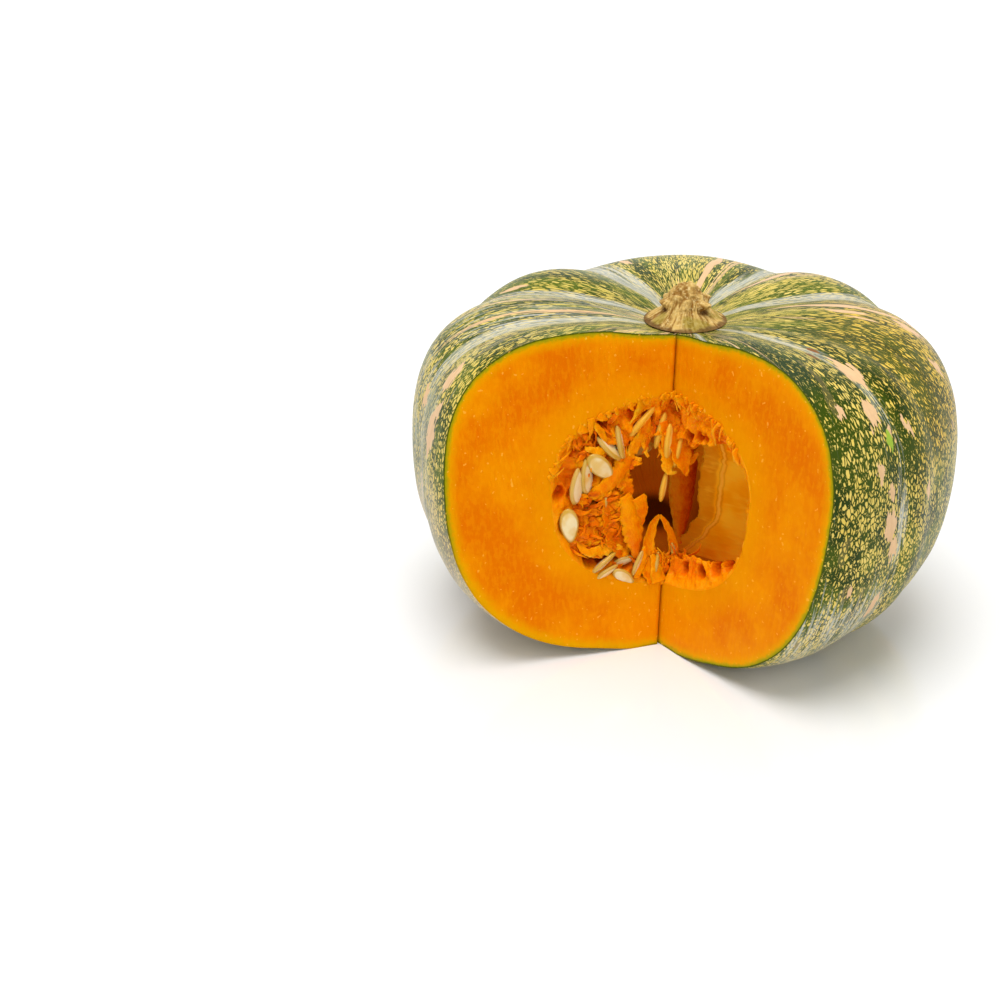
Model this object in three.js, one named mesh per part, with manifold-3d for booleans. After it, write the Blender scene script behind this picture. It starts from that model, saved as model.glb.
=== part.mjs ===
// A ribbed pumpkin with one wide wedge cut away, standing on its blossom end.
// Two knife faces show the flesh and the seed cavity, where pulp strands hold the seeds.
// Millimetres, +Z up along the fruit's axis, origin on the table under the stem.
// The wedge opens towards +X and -Y: the left knife face looks along +X, the right one along -Y.
import * as THREE from "three";
import { ParametricGeometry } from "three/addons/geometries/ParametricGeometry.js";
import { mergeVertices } from "three/addons/utils/BufferGeometryUtils.js";
import Module from "manifold-3d";

const wasm = await Module();
wasm.setup();

// Driving dimensions of the whole fruit
const EQUATOR_RADIUS = 120;
const EQUATOR_HEIGHT = 78;
const SHOULDER_RADIUS = 54;
const SHOULDER_HEIGHT = 144;
const STEM_DIP_HEIGHT = 135.5;
const FOOT_RADIUS = 38; // ring that the fruit stands on
const BLOSSOM_DIMPLE = 4; // hollow at the middle of the underside
const FOOT_SINK = 0.9; // how much the lowest skin is flattened by the table
const LOWER_FULLNESS = 2.3; // superellipse exponents of the flanks
const UPPER_FULLNESS = 2.65;

// Ribs: the furrows between them, in degrees from +X, and the share of the full depth that each one has
const FURROWS = [
  { at: 27, share: 0.8 },
  { at: 40, share: 0.7 },
  { at: 92, share: 1 },
  { at: 127, share: 1 },
  { at: 190, share: 1 },
  { at: 226, share: 1 },
  { at: 261, share: 1 },
  { at: 305, share: 0.7 },
  { at: 350, share: 0.8 },
];
const FURROW_DEPTH = 4.8;
const FURROW_SOFTNESS = 0.16; // rounds the bottom of each furrow
const BROAD_RIB = 30; // degrees: a narrower rib stays lower

// Knife cuts: both pass through one line, and each face runs outwards from it
const KNIFE_TOP = new THREE.Vector3(17.6, -10.5, STEM_DIP_HEIGHT);
const KNIFE_BOTTOM = new THREE.Vector3(35.7, -21.9, 0);
const LEFT_FACE_DIRECTION = -90;
const RIGHT_FACE_DIRECTION = 16;
const SLIT_DEPTH = 10; // the right cut runs a little past the line where the faces meet
const SLIT_WIDTH = 0.9;
const KNIFE_OVERRUN = 20; // below the table and above the fruit
const KNIFE_REACH = 320;

// Seed cavity
const CAVITY_RADIUS = 75;
const CAVITY_HEIGHT = 70; // level of its widest place
const CAVITY_ROOF = 43; // above that level
const CAVITY_FLOOR = 45; // below it
const CAVITY_FULLNESS = 2.7; // superellipse exponent: over 2 squares the hollow
const PULP_GAP = 1.1; // between the cavity wall's facets and the pulp

// Stem stub
const STEM_FLANGE_RADIUS = 18;
const STEM_RISE = 17.5;
const STEM_ANGLES = 5; // ridges round the stalk
const STEM_WAIST_RADIUS = 9.6;
const STEM_GAP = 0.5;

// Seeds
const SEED_LENGTH = 17;
const SEED_WIDTH = 8.6;
const SEED_THICKNESS = 3.4;
const SEED_ROOT = 0.55; // share of the pulp's depth at which seeds and fibres are rooted
const SEED_SPREAD = 0.74; // share of a pulp core's width and height that carries seeds
const CORE_FULLNESS = 0.6; // low values give a pulp core steep sides
const RIDGE_SHARE = 0.2; // relief of its ridges, as a share of its depth
const FIBRE_THINNEST = 1.6;
const FIBRE_THICKEST = 2.4;

// Facets
const FACETS_PER_RIB = 12;
const SKIN_AROUND = FURROWS.length * FACETS_PER_RIB;
const SKIN_ALONG = 26;
const CAVITY_AROUND = 44;
const CAVITY_ALONG = 18;
const STEM_AROUND = 30;
const STEM_ALONG = 12;
const CORE_AROUND = 20;
const CORE_ALONG = 9;
const SEED_AROUND = 8;
const SEED_ALONG = 4;
const FIBRE_SIDES = 3;
const FIBRE_STEPS = 5;
const CURTAIN_ALONG = 16;
const CURTAIN_AROUND = 8;

const { abs, cos, sin, PI, sign, sqrt, min, max } = Math;
const radians = THREE.MathUtils.degToRad;
const smooth = THREE.MathUtils.smoothstep;
const mix = THREE.MathUtils.lerp;

// Repeatable draws between two limits
let seedState = 20417;
function draw(low, high) {
  seedState = (seedState * 48271) % 2147483647;
  return low + ((high - low) * seedState) / 2147483647;
}

// A closed geometry as a solid: shared corners are merged and collapsed facets are dropped.
function solidOf(geometry) {
  const bare = geometry.clone();
  bare.deleteAttribute("normal");
  bare.deleteAttribute("uv");
  const merged = mergeVertices(bare, 1e-3);
  const corners = merged.index.array;
  const kept = [];
  for (let i = 0; i < corners.length; i += 3) {
    const [a, b, c] = corners.slice(i, i + 3);
    if (a !== b && b !== c && a !== c) kept.push(a, b, c);
  }
  const mesh = new wasm.Mesh({
    numProp: 3,
    vertProperties: new Float32Array(merged.attributes.position.array),
    triVerts: new Uint32Array(kept),
  });
  const solid = new wasm.Manifold(mesh);
  if (solid.volume() >= 0) return solid;
  for (let i = 0; i < kept.length; i += 3) [kept[i], kept[i + 1]] = [kept[i + 1], kept[i]];
  mesh.triVerts = new Uint32Array(kept);
  return new wasm.Manifold(mesh);
}

function geometryOf(solid) {
  const { vertProperties, triVerts } = solid.getMesh();
  const geometry = new THREE.BufferGeometry();
  geometry.setAttribute("position", new THREE.BufferAttribute(vertProperties, 3));
  geometry.setIndex(new THREE.BufferAttribute(triVerts, 1));
  geometry.computeVertexNormals();
  return geometry;
}

// The outer surface of the largest body: sealed hollows are filled and loose scraps are dropped.
function largestBody(solid) {
  return solid.decompose().sort((a, b) => b.volume() - a.volume())[0];
}

// Height of the skin inside the stem dip, at a distance from the axis.
function dipHeight(radius) {
  const share = min(radius / SHOULDER_RADIUS, 1);
  return mix(STEM_DIP_HEIGHT, SHOULDER_HEIGHT, 0.5 - 0.5 * cos(PI * share));
}

// The fruit's outline from the blossom end (0) to the stem (4), before the ribs.
// Each unit is one stretch: dimple, lower flank, upper flank, stem dip.
function outline(along) {
  const stretch = min(Math.floor(along), 3);
  const share = along - stretch;
  const angle = (share * PI) / 2;
  if (stretch === 0) {
    return new THREE.Vector2(FOOT_RADIUS * share, BLOSSOM_DIMPLE * (0.5 + 0.5 * cos(PI * share)));
  }
  if (stretch === 1) {
    const out = sin(angle) ** (2 / LOWER_FULLNESS);
    const up = 1 - cos(angle) ** (2 / LOWER_FULLNESS);
    return new THREE.Vector2(mix(FOOT_RADIUS, EQUATOR_RADIUS, out), EQUATOR_HEIGHT * up);
  }
  if (stretch === 2) {
    const out = cos(angle) ** (2 / UPPER_FULLNESS);
    const up = sin(angle) ** (2 / UPPER_FULLNESS);
    return new THREE.Vector2(
      mix(SHOULDER_RADIUS, EQUATOR_RADIUS, out),
      mix(EQUATOR_HEIGHT, SHOULDER_HEIGHT, up),
    );
  }
  const radius = SHOULDER_RADIUS * (1 - share);
  return new THREE.Vector2(radius, dipHeight(radius));
}

// Degrees from one furrow to the next.
function ribWidth(index) {
  const next = FURROWS[(index + 1) % FURROWS.length];
  return THREE.MathUtils.euclideanModulo(next.at - FURROWS[index].at, 360);
}

// 1 in the bottom of the deepest furrows, 0 on the crest of a broad rib.
function furrow(azimuth) {
  const first = FURROWS[0].at;
  const turn = first + THREE.MathUtils.euclideanModulo(THREE.MathUtils.radToDeg(azimuth) - first, 360);
  const index = FURROWS.findLastIndex((candidate) => candidate.at <= turn);
  const width = ribWidth(index);
  const across = (turn - FURROWS[index].at) / width;
  const rounded = sqrt(sin(PI * across) ** 2 + FURROW_SOFTNESS ** 2) - FURROW_SOFTNESS;
  const lift = rounded / (sqrt(1 + FURROW_SOFTNESS ** 2) - FURROW_SOFTNESS);
  const next = FURROWS[(index + 1) % FURROWS.length];
  return mix(FURROWS[index].share, next.share, across) * (1 - min(width / BROAD_RIB, 1) * lift);
}

// Every rib takes the same number of facets, so each furrow has a line of corners along its bottom.
function skinAzimuth(u) {
  const index = min(Math.floor(u * FURROWS.length), FURROWS.length - 1);
  return radians(FURROWS[index].at + ribWidth(index) * (u * FURROWS.length - index));
}

// Furrows are deepest on the shoulder, shallow underneath, and gone at both ends.
function furrowDepth(along) {
  const under = mix(0.25, 0.8, smooth(along, 0.7, 1.9)) * smooth(along, 0.1, 0.7);
  const nearStem = 1 - smooth(along, 3.05, 3.62);
  return FURROW_DEPTH * under * mix(1, 1.1, smooth(along, 2, 2.8)) * nearStem;
}

function skinPoint(azimuth, along, target) {
  const here = outline(along);
  const before = outline(max(along - 0.02, 0));
  const after = outline(min(along + 0.02, 4));
  const tangent = after.sub(before).normalize();
  const depth = furrow(azimuth) * furrowDepth(along);
  const radius = max(here.x - tangent.y * depth, 0);
  const height = here.y + tangent.x * depth - FOOT_SINK;
  target.set(radius * cos(azimuth), radius * sin(azimuth), max(height, 0));
}

function wholeFruit() {
  const surface = (u, v, target) => skinPoint(skinAzimuth(u), v * 4, target);
  return solidOf(new ParametricGeometry(surface, SKIN_AROUND, SKIN_ALONG));
}

// A place on the cavity wall, by azimuth and latitude, set in from the wall by a distance.
function cavityPoint(azimuth, latitude, inset, target) {
  const rise = latitude > 0 ? CAVITY_ROOF : -CAVITY_FLOOR;
  const out = max(cos(latitude), 0) ** (2 / CAVITY_FULLNESS);
  const up = abs(sin(latitude)) ** (2 / CAVITY_FULLNESS);
  const radius = (CAVITY_RADIUS - inset) * out;
  const height = CAVITY_HEIGHT + (rise - sign(rise) * inset) * up;
  return target.set(radius * cos(azimuth), radius * sin(azimuth), height);
}

function cavity() {
  const surface = (u, v, target) => cavityPoint(u * 2 * PI, (v - 0.5) * PI, 0, target);
  return solidOf(new ParametricGeometry(surface, CAVITY_AROUND, CAVITY_ALONG));
}

// The wedge that the two knife cuts take out, with the thin slit where one ran past the other.
function cutWedge() {
  const left = radians(LEFT_FACE_DIRECTION);
  const right = radians(RIGHT_FACE_DIRECTION);
  const section = new THREE.Shape();
  section.moveTo(-SLIT_DEPTH * cos(right), -SLIT_DEPTH * sin(right));
  section.lineTo(SLIT_WIDTH * cos(left), SLIT_WIDTH * sin(left));
  section.lineTo(KNIFE_REACH * cos(left), KNIFE_REACH * sin(left));
  section.lineTo(KNIFE_REACH * cos(right), KNIFE_REACH * sin(right));
  const depth = SHOULDER_HEIGHT + 2 * KNIFE_OVERRUN;
  const prism = new THREE.ExtrudeGeometry(section, { depth, bevelEnabled: false });
  const lean = KNIFE_TOP.clone().sub(KNIFE_BOTTOM).divideScalar(STEM_DIP_HEIGHT);
  const shear = new THREE.Matrix4().makeBasis(
    new THREE.Vector3(1, 0, 0),
    new THREE.Vector3(0, 1, 0),
    lean,
  );
  const start = KNIFE_BOTTOM.clone().addScaledVector(lean, -KNIFE_OVERRUN);
  prism.applyMatrix4(shear.setPosition(start));
  return solidOf(prism);
}

// The corky stub: a flange in the dip, a fluted waist, knuckles and a broken top.
function stemPoint(u, v, target) {
  const azimuth = u * 2 * PI;
  const under = 0.3; // share of the way spent on the underside
  const share = max((v - under) / (1 - under), 0);
  const ridge = cos(STEM_ANGLES * azimuth + 0.6);
  const waist = mix(STEM_FLANGE_RADIUS, STEM_WAIST_RADIUS, smooth(share, 0.08, 0.5));
  const top = smooth(share, 0.62, 1);
  const flute = 1 + 0.13 * ridge * smooth(share, 0.02, 0.35) * (1 - top);
  const rounded = sqrt(max(1 - top ** 2, 0));
  const radius = v < under ? (STEM_FLANGE_RADIUS * v) / under : waist * flute * rounded;
  const foot = dipHeight(radius) + STEM_GAP;
  const rim = dipHeight(STEM_FLANGE_RADIUS) + STEM_GAP;
  const knuckle = 1.6 * ridge * smooth(share, 0.3, 0.6) * (1 - top);
  const height = v <= under ? foot : rim + STEM_RISE * share ** 1.15 + knuckle;
  target.set(radius * cos(azimuth), radius * sin(azimuth), height - FOOT_SINK);
}

function stem() {
  return solidOf(new ParametricGeometry(stemPoint, STEM_AROUND, STEM_ALONG));
}

// A flat drop-shaped seed with its tip at the origin, lying along +X with its face to +Z.
function seedPoint(u, v, target) {
  const angle = u * 2 * PI;
  const spread = sin(v * PI);
  const middle = 0.56 * SEED_LENGTH;
  const taper = 1 - 0.34 * max(-cos(angle), 0) ** 1.5;
  const reach = cos(angle) < 0 ? middle : SEED_LENGTH - middle;
  target.set(
    middle + reach * cos(angle) * spread,
    0.5 * SEED_WIDTH * sin(angle) * spread * taper,
    0.5 * SEED_THICKNESS * cos(v * PI),
  );
}

// A seed whose tip is at a place, lying along a direction with its flat side towards another.
function seedAt(tip, direction, facing) {
  const along = direction.clone().normalize();
  const side = facing.clone().cross(along).normalize();
  const face = along.clone().cross(side);
  const placed = new THREE.Matrix4().makeBasis(along, side, face).setPosition(tip);
  return solidOf(new ParametricGeometry(seedPoint, SEED_AROUND, SEED_ALONG).applyMatrix4(placed));
}

// A seed that lies in the left knife face, as far out from the knife line and as high as given.
// Its tip leans from straight up towards the knife line by an angle in degrees.
function faceSeed({ out, height, lean }) {
  const line = KNIFE_BOTTOM.clone().lerp(KNIFE_TOP, height / STEM_DIP_HEIGHT);
  const middle = new THREE.Vector3(line.x, line.y - out, height);
  const back = new THREE.Vector3(0, -sin(radians(lean)), -cos(radians(lean)));
  const tip = middle.addScaledVector(back, -0.5 * SEED_LENGTH);
  return seedAt(tip, back, new THREE.Vector3(1, 0, 0));
}

// A fibre of pulp: a thin strand along a bent line.
function fibre(points, thickness) {
  const section = new THREE.Shape();
  for (let side = 0; side < FIBRE_SIDES; side++) {
    const angle = (side * 2 * PI) / FIBRE_SIDES;
    const corner = [0.5 * thickness * cos(angle), 0.5 * thickness * sin(angle)];
    if (side === 0) section.moveTo(...corner);
    else section.lineTo(...corner);
  }
  const extrudePath = new THREE.CatmullRomCurve3(points);
  return solidOf(new THREE.ExtrudeGeometry(section, { steps: FIBRE_STEPS, extrudePath }));
}

// A core of pulp that hugs the cavity wall, ridged along the meridian, for seeds and fibres to stand on.
function pulpCore({ azimuth, latitude, halfWidth, halfHeight, depth }) {
  const surface = (u, v, target) => {
    const angle = u * 2 * PI;
    const across = cos(angle) * sin(v * PI);
    const up = sin(angle) * sin(v * PI);
    const inside = max(-cos(v * PI), 0) ** CORE_FULLNESS;
    const ridges = 1 + RIDGE_SHARE * sin(9 * across + 4 * up) * inside;
    cavityPoint(
      radians(azimuth + halfWidth * across),
      radians(latitude + halfHeight * up),
      PULP_GAP + depth * inside * ridges,
      target,
    );
  };
  return solidOf(new ParametricGeometry(surface, CORE_AROUND, CORE_ALONG));
}

// One seed and one fibre that grow inwards from a place on the cavity wall.
// The place is a share of the core's half width and half height.
function seedAndFibre(core, across, up) {
  const azimuth = radians(core.azimuth + core.halfWidth * across);
  const latitude = radians(core.latitude + core.halfHeight * up);
  const root = cavityPoint(azimuth, latitude, SEED_ROOT * core.depth, new THREE.Vector3());
  const inwards = new THREE.Vector3(0, 0, CAVITY_HEIGHT).sub(root).normalize();
  const sway = new THREE.Vector3(draw(-0.3, 0.3), draw(-0.3, 0.3), draw(-0.2, 0.2));
  const direction = inwards.clone().add(sway).normalize();
  const facing = new THREE.Vector3(-sin(azimuth), cos(azimuth), 0);
  facing.applyAxisAngle(inwards, draw(-0.6, 0.6));
  const seed = seedAt(root, direction, facing);
  const drift = draw(-7, 7);
  const beside = cavityPoint(azimuth + radians(drift), latitude, 0.4 * core.depth, new THREE.Vector3());
  const bend = beside.clone().addScaledVector(inwards, 0.5 * core.depth + 0.4 * core.hang);
  const end = bend.clone().addScaledVector(inwards, draw(0.3, 0.8) * core.hang);
  end.addScaledVector(sway, core.hang);
  return seed.add(fibre([beside, bend, end], draw(FIBRE_THINNEST, FIBRE_THICKEST)));
}

// A core of pulp with its rows of seeds and fibres, trimmed by the knife.
function pulpNode(core) {
  let solid = pulpCore(core);
  for (let row = 0; row < core.rows; row++) {
    for (let column = 0; column < core.columns; column++) {
      const stagger = 0.5 * (row % 2);
      const across = SEED_SPREAD * ((2 * column + 0.75 + stagger) / core.columns - 1);
      const up = SEED_SPREAD * ((2 * row + 1) / core.rows - 1);
      solid = solid.add(seedAndFibre(core, across + draw(-0.06, 0.06), up + draw(-0.06, 0.06)));
    }
  }
  return solid.subtract(wedge);
}

// A thin sheet that stands off the cavity wall along a meridian, with a torn free edge.
function pulpCurtain({ azimuth, low, high, reach, turn, thickness }) {
  const surface = (u, v, target) => {
    const angle = u * 2 * PI;
    const share = 0.5 + 0.5 * cos(angle);
    const side = sin(angle);
    const latitude = radians(mix(low, high, v));
    const taper = sqrt(sin(v * PI));
    const torn = 1 + 0.03 * sin(23 * v) + 0.02 * sin(41 * v + 1);
    const lean = radians(azimuth + turn * share);
    const stand = reach * share * torn * taper;
    const half = 0.5 * thickness * side * taper;
    cavityPoint(radians(azimuth), latitude, PULP_GAP, target);
    target.x -= stand * cos(lean) + half * sin(lean);
    target.y -= stand * sin(lean) - half * cos(lean);
  };
  return solidOf(new ParametricGeometry(surface, CURTAIN_AROUND, CURTAIN_ALONG));
}

// Materials, from the colours of the fruit
const RIND = new THREE.MeshStandardMaterial({ color: 0x5d7342, roughness: 0.45, metalness: 0 });
const CORK = new THREE.MeshStandardMaterial({ color: 0xc9ab74, roughness: 0.85, metalness: 0 });
const PULP = new THREE.MeshStandardMaterial({ color: 0xe07c12, roughness: 0.4, metalness: 0 });

function piece(name, solid, material) {
  const mesh = new THREE.Mesh(geometryOf(largestBody(solid)), material);
  mesh.name = name;
  return mesh;
}

// The pulp's places in the cavity: degrees round the axis and above the cavity's widest level
const LEFT_CORE = {
  azimuth: 262, latitude: -2, halfWidth: 32, halfHeight: 44, depth: 32, hang: 14, rows: 5, columns: 3,
};
const ROOF_CORE = {
  azimuth: 320, latitude: 67, halfWidth: 66, halfHeight: 20, depth: 8, hang: 26, rows: 2, columns: 7,
};
const FLOOR_CORE = {
  azimuth: 320, latitude: -67, halfWidth: 66, halfHeight: 20, depth: 8, hang: 14, rows: 2, columns: 7,
};
const BACK_CORE = {
  azimuth: 196, latitude: 0, halfWidth: 30, halfHeight: 48, depth: 12, hang: 12, rows: 4, columns: 3,
};
const LEFT_FACE_SEEDS = [
  { out: 44, height: 77, lean: 3 },
  { out: 38, height: 81, lean: -8 },
  { out: 32, height: 85, lean: 145 },
  { out: 46, height: 60, lean: 175 },
  { out: 26, height: 93, lean: 150 },
];
const RIGHT_CURTAIN = { azimuth: 28, low: -54, high: 54, reach: 54, turn: 6, thickness: 1.4 };
const BACK_CURTAIN = { azimuth: 64, low: -50, high: 50, reach: 65, turn: -2, thickness: 1.4 };

const wedge = cutWedge();
const fruit = wholeFruit().subtract(cavity()).subtract(wedge);
const pulpLeft = LEFT_FACE_SEEDS.reduce((pulp, seed) => pulp.add(faceSeed(seed)), pulpNode(LEFT_CORE));
const pumpkin = new THREE.Group();
pumpkin.add(
  piece("flesh_and_rind", fruit, RIND),
  piece("stem", stem(), CORK),
  piece("pulp_left", pulpLeft, PULP),
  piece("pulp_roof", pulpNode(ROOF_CORE), PULP),
  piece("pulp_floor", pulpNode(FLOOR_CORE), PULP),
  piece("pulp_back", pulpNode(BACK_CORE), PULP),
  piece("pulp_curtain_right", pulpCurtain(RIGHT_CURTAIN), PULP),
  piece("pulp_curtain_back", pulpCurtain(BACK_CURTAIN), PULP),
);

export default pumpkin;
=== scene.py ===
# %% [markdown]
# # A cut pumpkin
# The frame holds the fruit as plain solids: its flesh and rind, the stem, and the pulp in the seed cavity.
# This lesson makes each of them again with a finer surface and gives it the finish of the real thing.
# Nothing is moved or resized: every shape here follows the same measures as the solid that it stands for.

# %% Load the frame
import math

import bpy
import numpy as np
from mathutils import Matrix, Vector, noise
from mathutils.bvhtree import BVHTree


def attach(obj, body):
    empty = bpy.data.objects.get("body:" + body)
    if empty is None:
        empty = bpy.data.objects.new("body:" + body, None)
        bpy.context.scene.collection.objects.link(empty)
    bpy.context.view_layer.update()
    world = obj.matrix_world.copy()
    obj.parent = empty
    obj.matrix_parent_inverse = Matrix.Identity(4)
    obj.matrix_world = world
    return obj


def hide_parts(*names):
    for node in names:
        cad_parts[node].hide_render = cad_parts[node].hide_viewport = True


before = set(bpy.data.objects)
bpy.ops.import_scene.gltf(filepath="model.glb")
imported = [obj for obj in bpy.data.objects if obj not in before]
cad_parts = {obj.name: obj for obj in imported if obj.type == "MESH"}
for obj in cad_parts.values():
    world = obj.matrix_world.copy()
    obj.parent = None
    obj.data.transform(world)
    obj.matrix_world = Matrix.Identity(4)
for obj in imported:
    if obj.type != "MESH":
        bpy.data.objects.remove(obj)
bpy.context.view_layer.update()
print("nodes:", sorted(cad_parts))

# %% [markdown]
# ## Measures
# All shapes are worked out in millimetres, as a grower or a cook would measure them, and turned into
# metres only when a mesh is made. The fruit's axis is +Z and it stands on z = 0. The wedge that was cut
# out opens towards +X and -Y.

# %% Measures of the fruit
MM = 0.001
EQUATOR_RADIUS, EQUATOR_HEIGHT = 120, 78
SHOULDER_RADIUS, SHOULDER_HEIGHT = 54, 144
STEM_DIP_HEIGHT = 135.5
FOOT_RADIUS, FOOT_SINK, BLOSSOM_DIMPLE = 38, 0.9, 4
LOWER_FULLNESS, UPPER_FULLNESS = 2.3, 2.65
# furrows between the ribs: degrees from +X, and the share of the full depth that each one has
FURROWS = [(27, 0.8), (40, 0.7), (92, 1), (127, 1), (190, 1), (226, 1), (261, 1), (305, 0.7), (350, 0.8)]
FURROW_DEPTH, FURROW_SOFTNESS, BROAD_RIB = 4.8, 0.16, 30
KNIFE_TOP = np.array((17.6, -10.5, STEM_DIP_HEIGHT))
KNIFE_BOTTOM = np.array((35.7, -21.9, 0.0))
KNIFE_LEAN = (KNIFE_TOP - KNIFE_BOTTOM) / STEM_DIP_HEIGHT
LEFT_FACE, RIGHT_FACE = math.radians(-90), math.radians(16)
SLIT_DEPTH, SLIT_WIDTH = 10, 1.3
CAVITY_RADIUS, CAVITY_HEIGHT, CAVITY_ROOF, CAVITY_FLOOR, CAVITY_FULLNESS = 75, 70, 43, 45, 2.7
print("fruit", 2 * EQUATOR_RADIUS, "mm across, cavity", 2 * CAVITY_RADIUS, "mm across")

# %% [markdown]
# ## Small helpers for meshes
# A closed form such as a fruit, a seed or a stem is a grid of points that wraps round on itself and ends
# in a single point at each pole. One function turns such a grid into a mesh. Another gives soft lumps:
# Blender's own noise, asked once for each point.


# %% Helpers for meshes
def blend(low, high, share):
    return low + (high - low) * share


def smoothstep(value, low, high):
    share = np.clip((value - low) / (high - low), 0, 1)
    return share * share * (3 - 2 * share)


def lumps(points, size, shift=0.0):
    """Soft noise from about -1 to 1 at each point, with lumps of that size in millimetres."""
    return np.array([noise.noise(Vector(p) / size + Vector((shift, shift, shift))) for p in points])


def new_piece(name, points, faces, material=None):
    """A mesh object from points in millimetres."""
    mesh = bpy.data.meshes.new(name)
    mesh.from_pydata((np.asarray(points) * MM).tolist(), [], faces)
    mesh.shade_smooth()
    piece = bpy.data.objects.new(name, mesh)
    bpy.context.scene.collection.objects.link(piece)
    if material:
        mesh.materials.append(material)
    return piece


def closed_grid(grid):
    """Points and faces of a closed form: rows of points that wrap round, with a pole at each end."""
    rows, columns, _ = grid.shape
    inner = grid[1:-1].reshape(-1, 3)
    points = np.vstack([grid[0, :1], inner, grid[-1, :1]])
    last = len(points) - 1
    faces = []
    for row in range(rows - 3):
        for column in range(columns):
            a = 1 + row * columns + column
            b = 1 + row * columns + (column + 1) % columns
            faces.append((a, b, b + columns, a + columns))
    for column in range(columns):
        following = (column + 1) % columns
        faces.append((0, 1 + following, 1 + column))
        faces.append((last, last - columns + column, last - columns + following))
    return points, faces


print("helpers ready")

# %% [markdown]
# ## The form of the fruit
# The outline runs from the blossom end (0) over the flanks to the stem (4). Ribs are made by pressing
# furrows into it, deepest on the shoulder. Modelling by sculpting would do too, but a formula keeps the
# form measured and lets the flesh, the rind and the cavity share one set of measures.


# %% The outline and the ribs
def dip_height(radius):
    share = np.minimum(radius / SHOULDER_RADIUS, 1)
    return blend(STEM_DIP_HEIGHT, SHOULDER_HEIGHT, 0.5 - 0.5 * np.cos(np.pi * share))


def outline(along):
    """Radius and height of the fruit's outline, before the ribs."""
    stretch = np.minimum(np.floor(along), 3)
    share = along - stretch
    sine = np.sin(share * np.pi / 2).clip(0, 1)
    cosine = np.cos(share * np.pi / 2).clip(0, 1)
    dip = SHOULDER_RADIUS * (1 - share)
    radius = np.select(
        [stretch == 0, stretch == 1, stretch == 2],
        [
            FOOT_RADIUS * share,
            blend(FOOT_RADIUS, EQUATOR_RADIUS, sine ** (2 / LOWER_FULLNESS)),
            blend(SHOULDER_RADIUS, EQUATOR_RADIUS, cosine ** (2 / UPPER_FULLNESS)),
        ],
        dip,
    )
    height = np.select(
        [stretch == 0, stretch == 1, stretch == 2],
        [
            BLOSSOM_DIMPLE * (0.5 + 0.5 * np.cos(np.pi * share)),
            EQUATOR_HEIGHT * (1 - cosine ** (2 / LOWER_FULLNESS)),
            blend(EQUATOR_HEIGHT, SHOULDER_HEIGHT, sine ** (2 / UPPER_FULLNESS)),
        ],
        dip_height(dip),
    )
    return radius, height


def furrow(azimuth):
    """1 in the bottom of the deepest furrows, 0 on the crest of a broad rib."""
    starts, shares = np.array(FURROWS, float).T
    turn = starts[0] + (np.degrees(azimuth) - starts[0]) % 360
    index = np.searchsorted(starts, turn, side="right") - 1
    following = (index + 1) % len(starts)
    width = (starts[following] - starts[index]) % 360
    across = (turn - starts[index]) / width
    lift = np.sqrt(np.sin(np.pi * across) ** 2 + FURROW_SOFTNESS**2) - FURROW_SOFTNESS
    lift *= np.minimum(width / BROAD_RIB, 1) / (math.sqrt(1 + FURROW_SOFTNESS**2) - FURROW_SOFTNESS)
    return blend(shares[index], shares[following], across) * (1 - lift)


def furrow_depth(along):
    under = blend(0.25, 0.8, smoothstep(along, 0.7, 1.9)) * smoothstep(along, 0.1, 0.7)
    near_stem = 1 - smoothstep(along, 3.05, 3.62)
    return FURROW_DEPTH * under * blend(1, 1.1, smoothstep(along, 2, 2.8)) * near_stem


def skin(azimuth, along):
    """Points of the skin in millimetres."""
    step = 0.02
    radius, height = outline(along)
    before = outline(np.maximum(along - step, 0))
    after = outline(np.minimum(along + step, 4))
    run, climb = after[0] - before[0], after[1] - before[1]
    length = np.hypot(run, climb)
    depth = furrow(azimuth) * furrow_depth(along)
    radius = np.maximum(radius - climb / length * depth, 0)
    height = np.maximum(height + run / length * depth - FOOT_SINK, 0)
    return np.stack([radius * np.cos(azimuth), radius * np.sin(azimuth), height], -1)


def cavity_point(azimuth, latitude, inset=0.0):
    """Points of the cavity wall, set in from it by a distance."""
    rise = np.where(latitude > 0, CAVITY_ROOF - inset, -(CAVITY_FLOOR - inset))
    out = np.cos(latitude).clip(0, 1) ** (2 / CAVITY_FULLNESS)
    up = np.abs(np.sin(latitude)) ** (2 / CAVITY_FULLNESS)
    radius = (CAVITY_RADIUS - inset) * out
    height = CAVITY_HEIGHT + rise * up
    return np.stack([radius * np.cos(azimuth), radius * np.sin(azimuth), height + 0 * radius], -1)


print("widest skin point:", skin(np.array([0.9]), np.array([2.0])).round(1).tolist())

# %% [markdown]
# ## The whole fruit and the hollow
# A cook cuts a whole fruit, so this does too: first the fruit with its skin closed, and the hollow as a
# blank of its own. Modelling the cut fruit at once would save two booleans, but then the skin, the flesh
# and the wall of the hollow would have to be stitched along their borders by hand.

# %% Whole fruit and hollow
SKIN_AROUND, SKIN_ALONG = 420, 190
HOLLOW_AROUND, HOLLOW_ALONG = 150, 80


def around(count):
    return np.arange(count) * 2 * math.pi / count


def grid_of(form, rows, columns):
    across, down = np.meshgrid(columns, rows)
    return form(across, down)


def whole_fruit():
    points, faces = closed_grid(grid_of(skin, np.linspace(0, 4, SKIN_ALONG), around(SKIN_AROUND)))
    outwards = points - np.array((0, 0, EQUATOR_HEIGHT))
    outwards /= np.linalg.norm(outwards, axis=1, keepdims=True)
    swell = 0.55 * lumps(points, 42) + 0.2 * lumps(points, 13, 5.0)
    swell *= smoothstep(points[:, 2], 1, 25)
    return new_piece("pumpkin_body", points + outwards * swell[:, None], faces)


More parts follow.
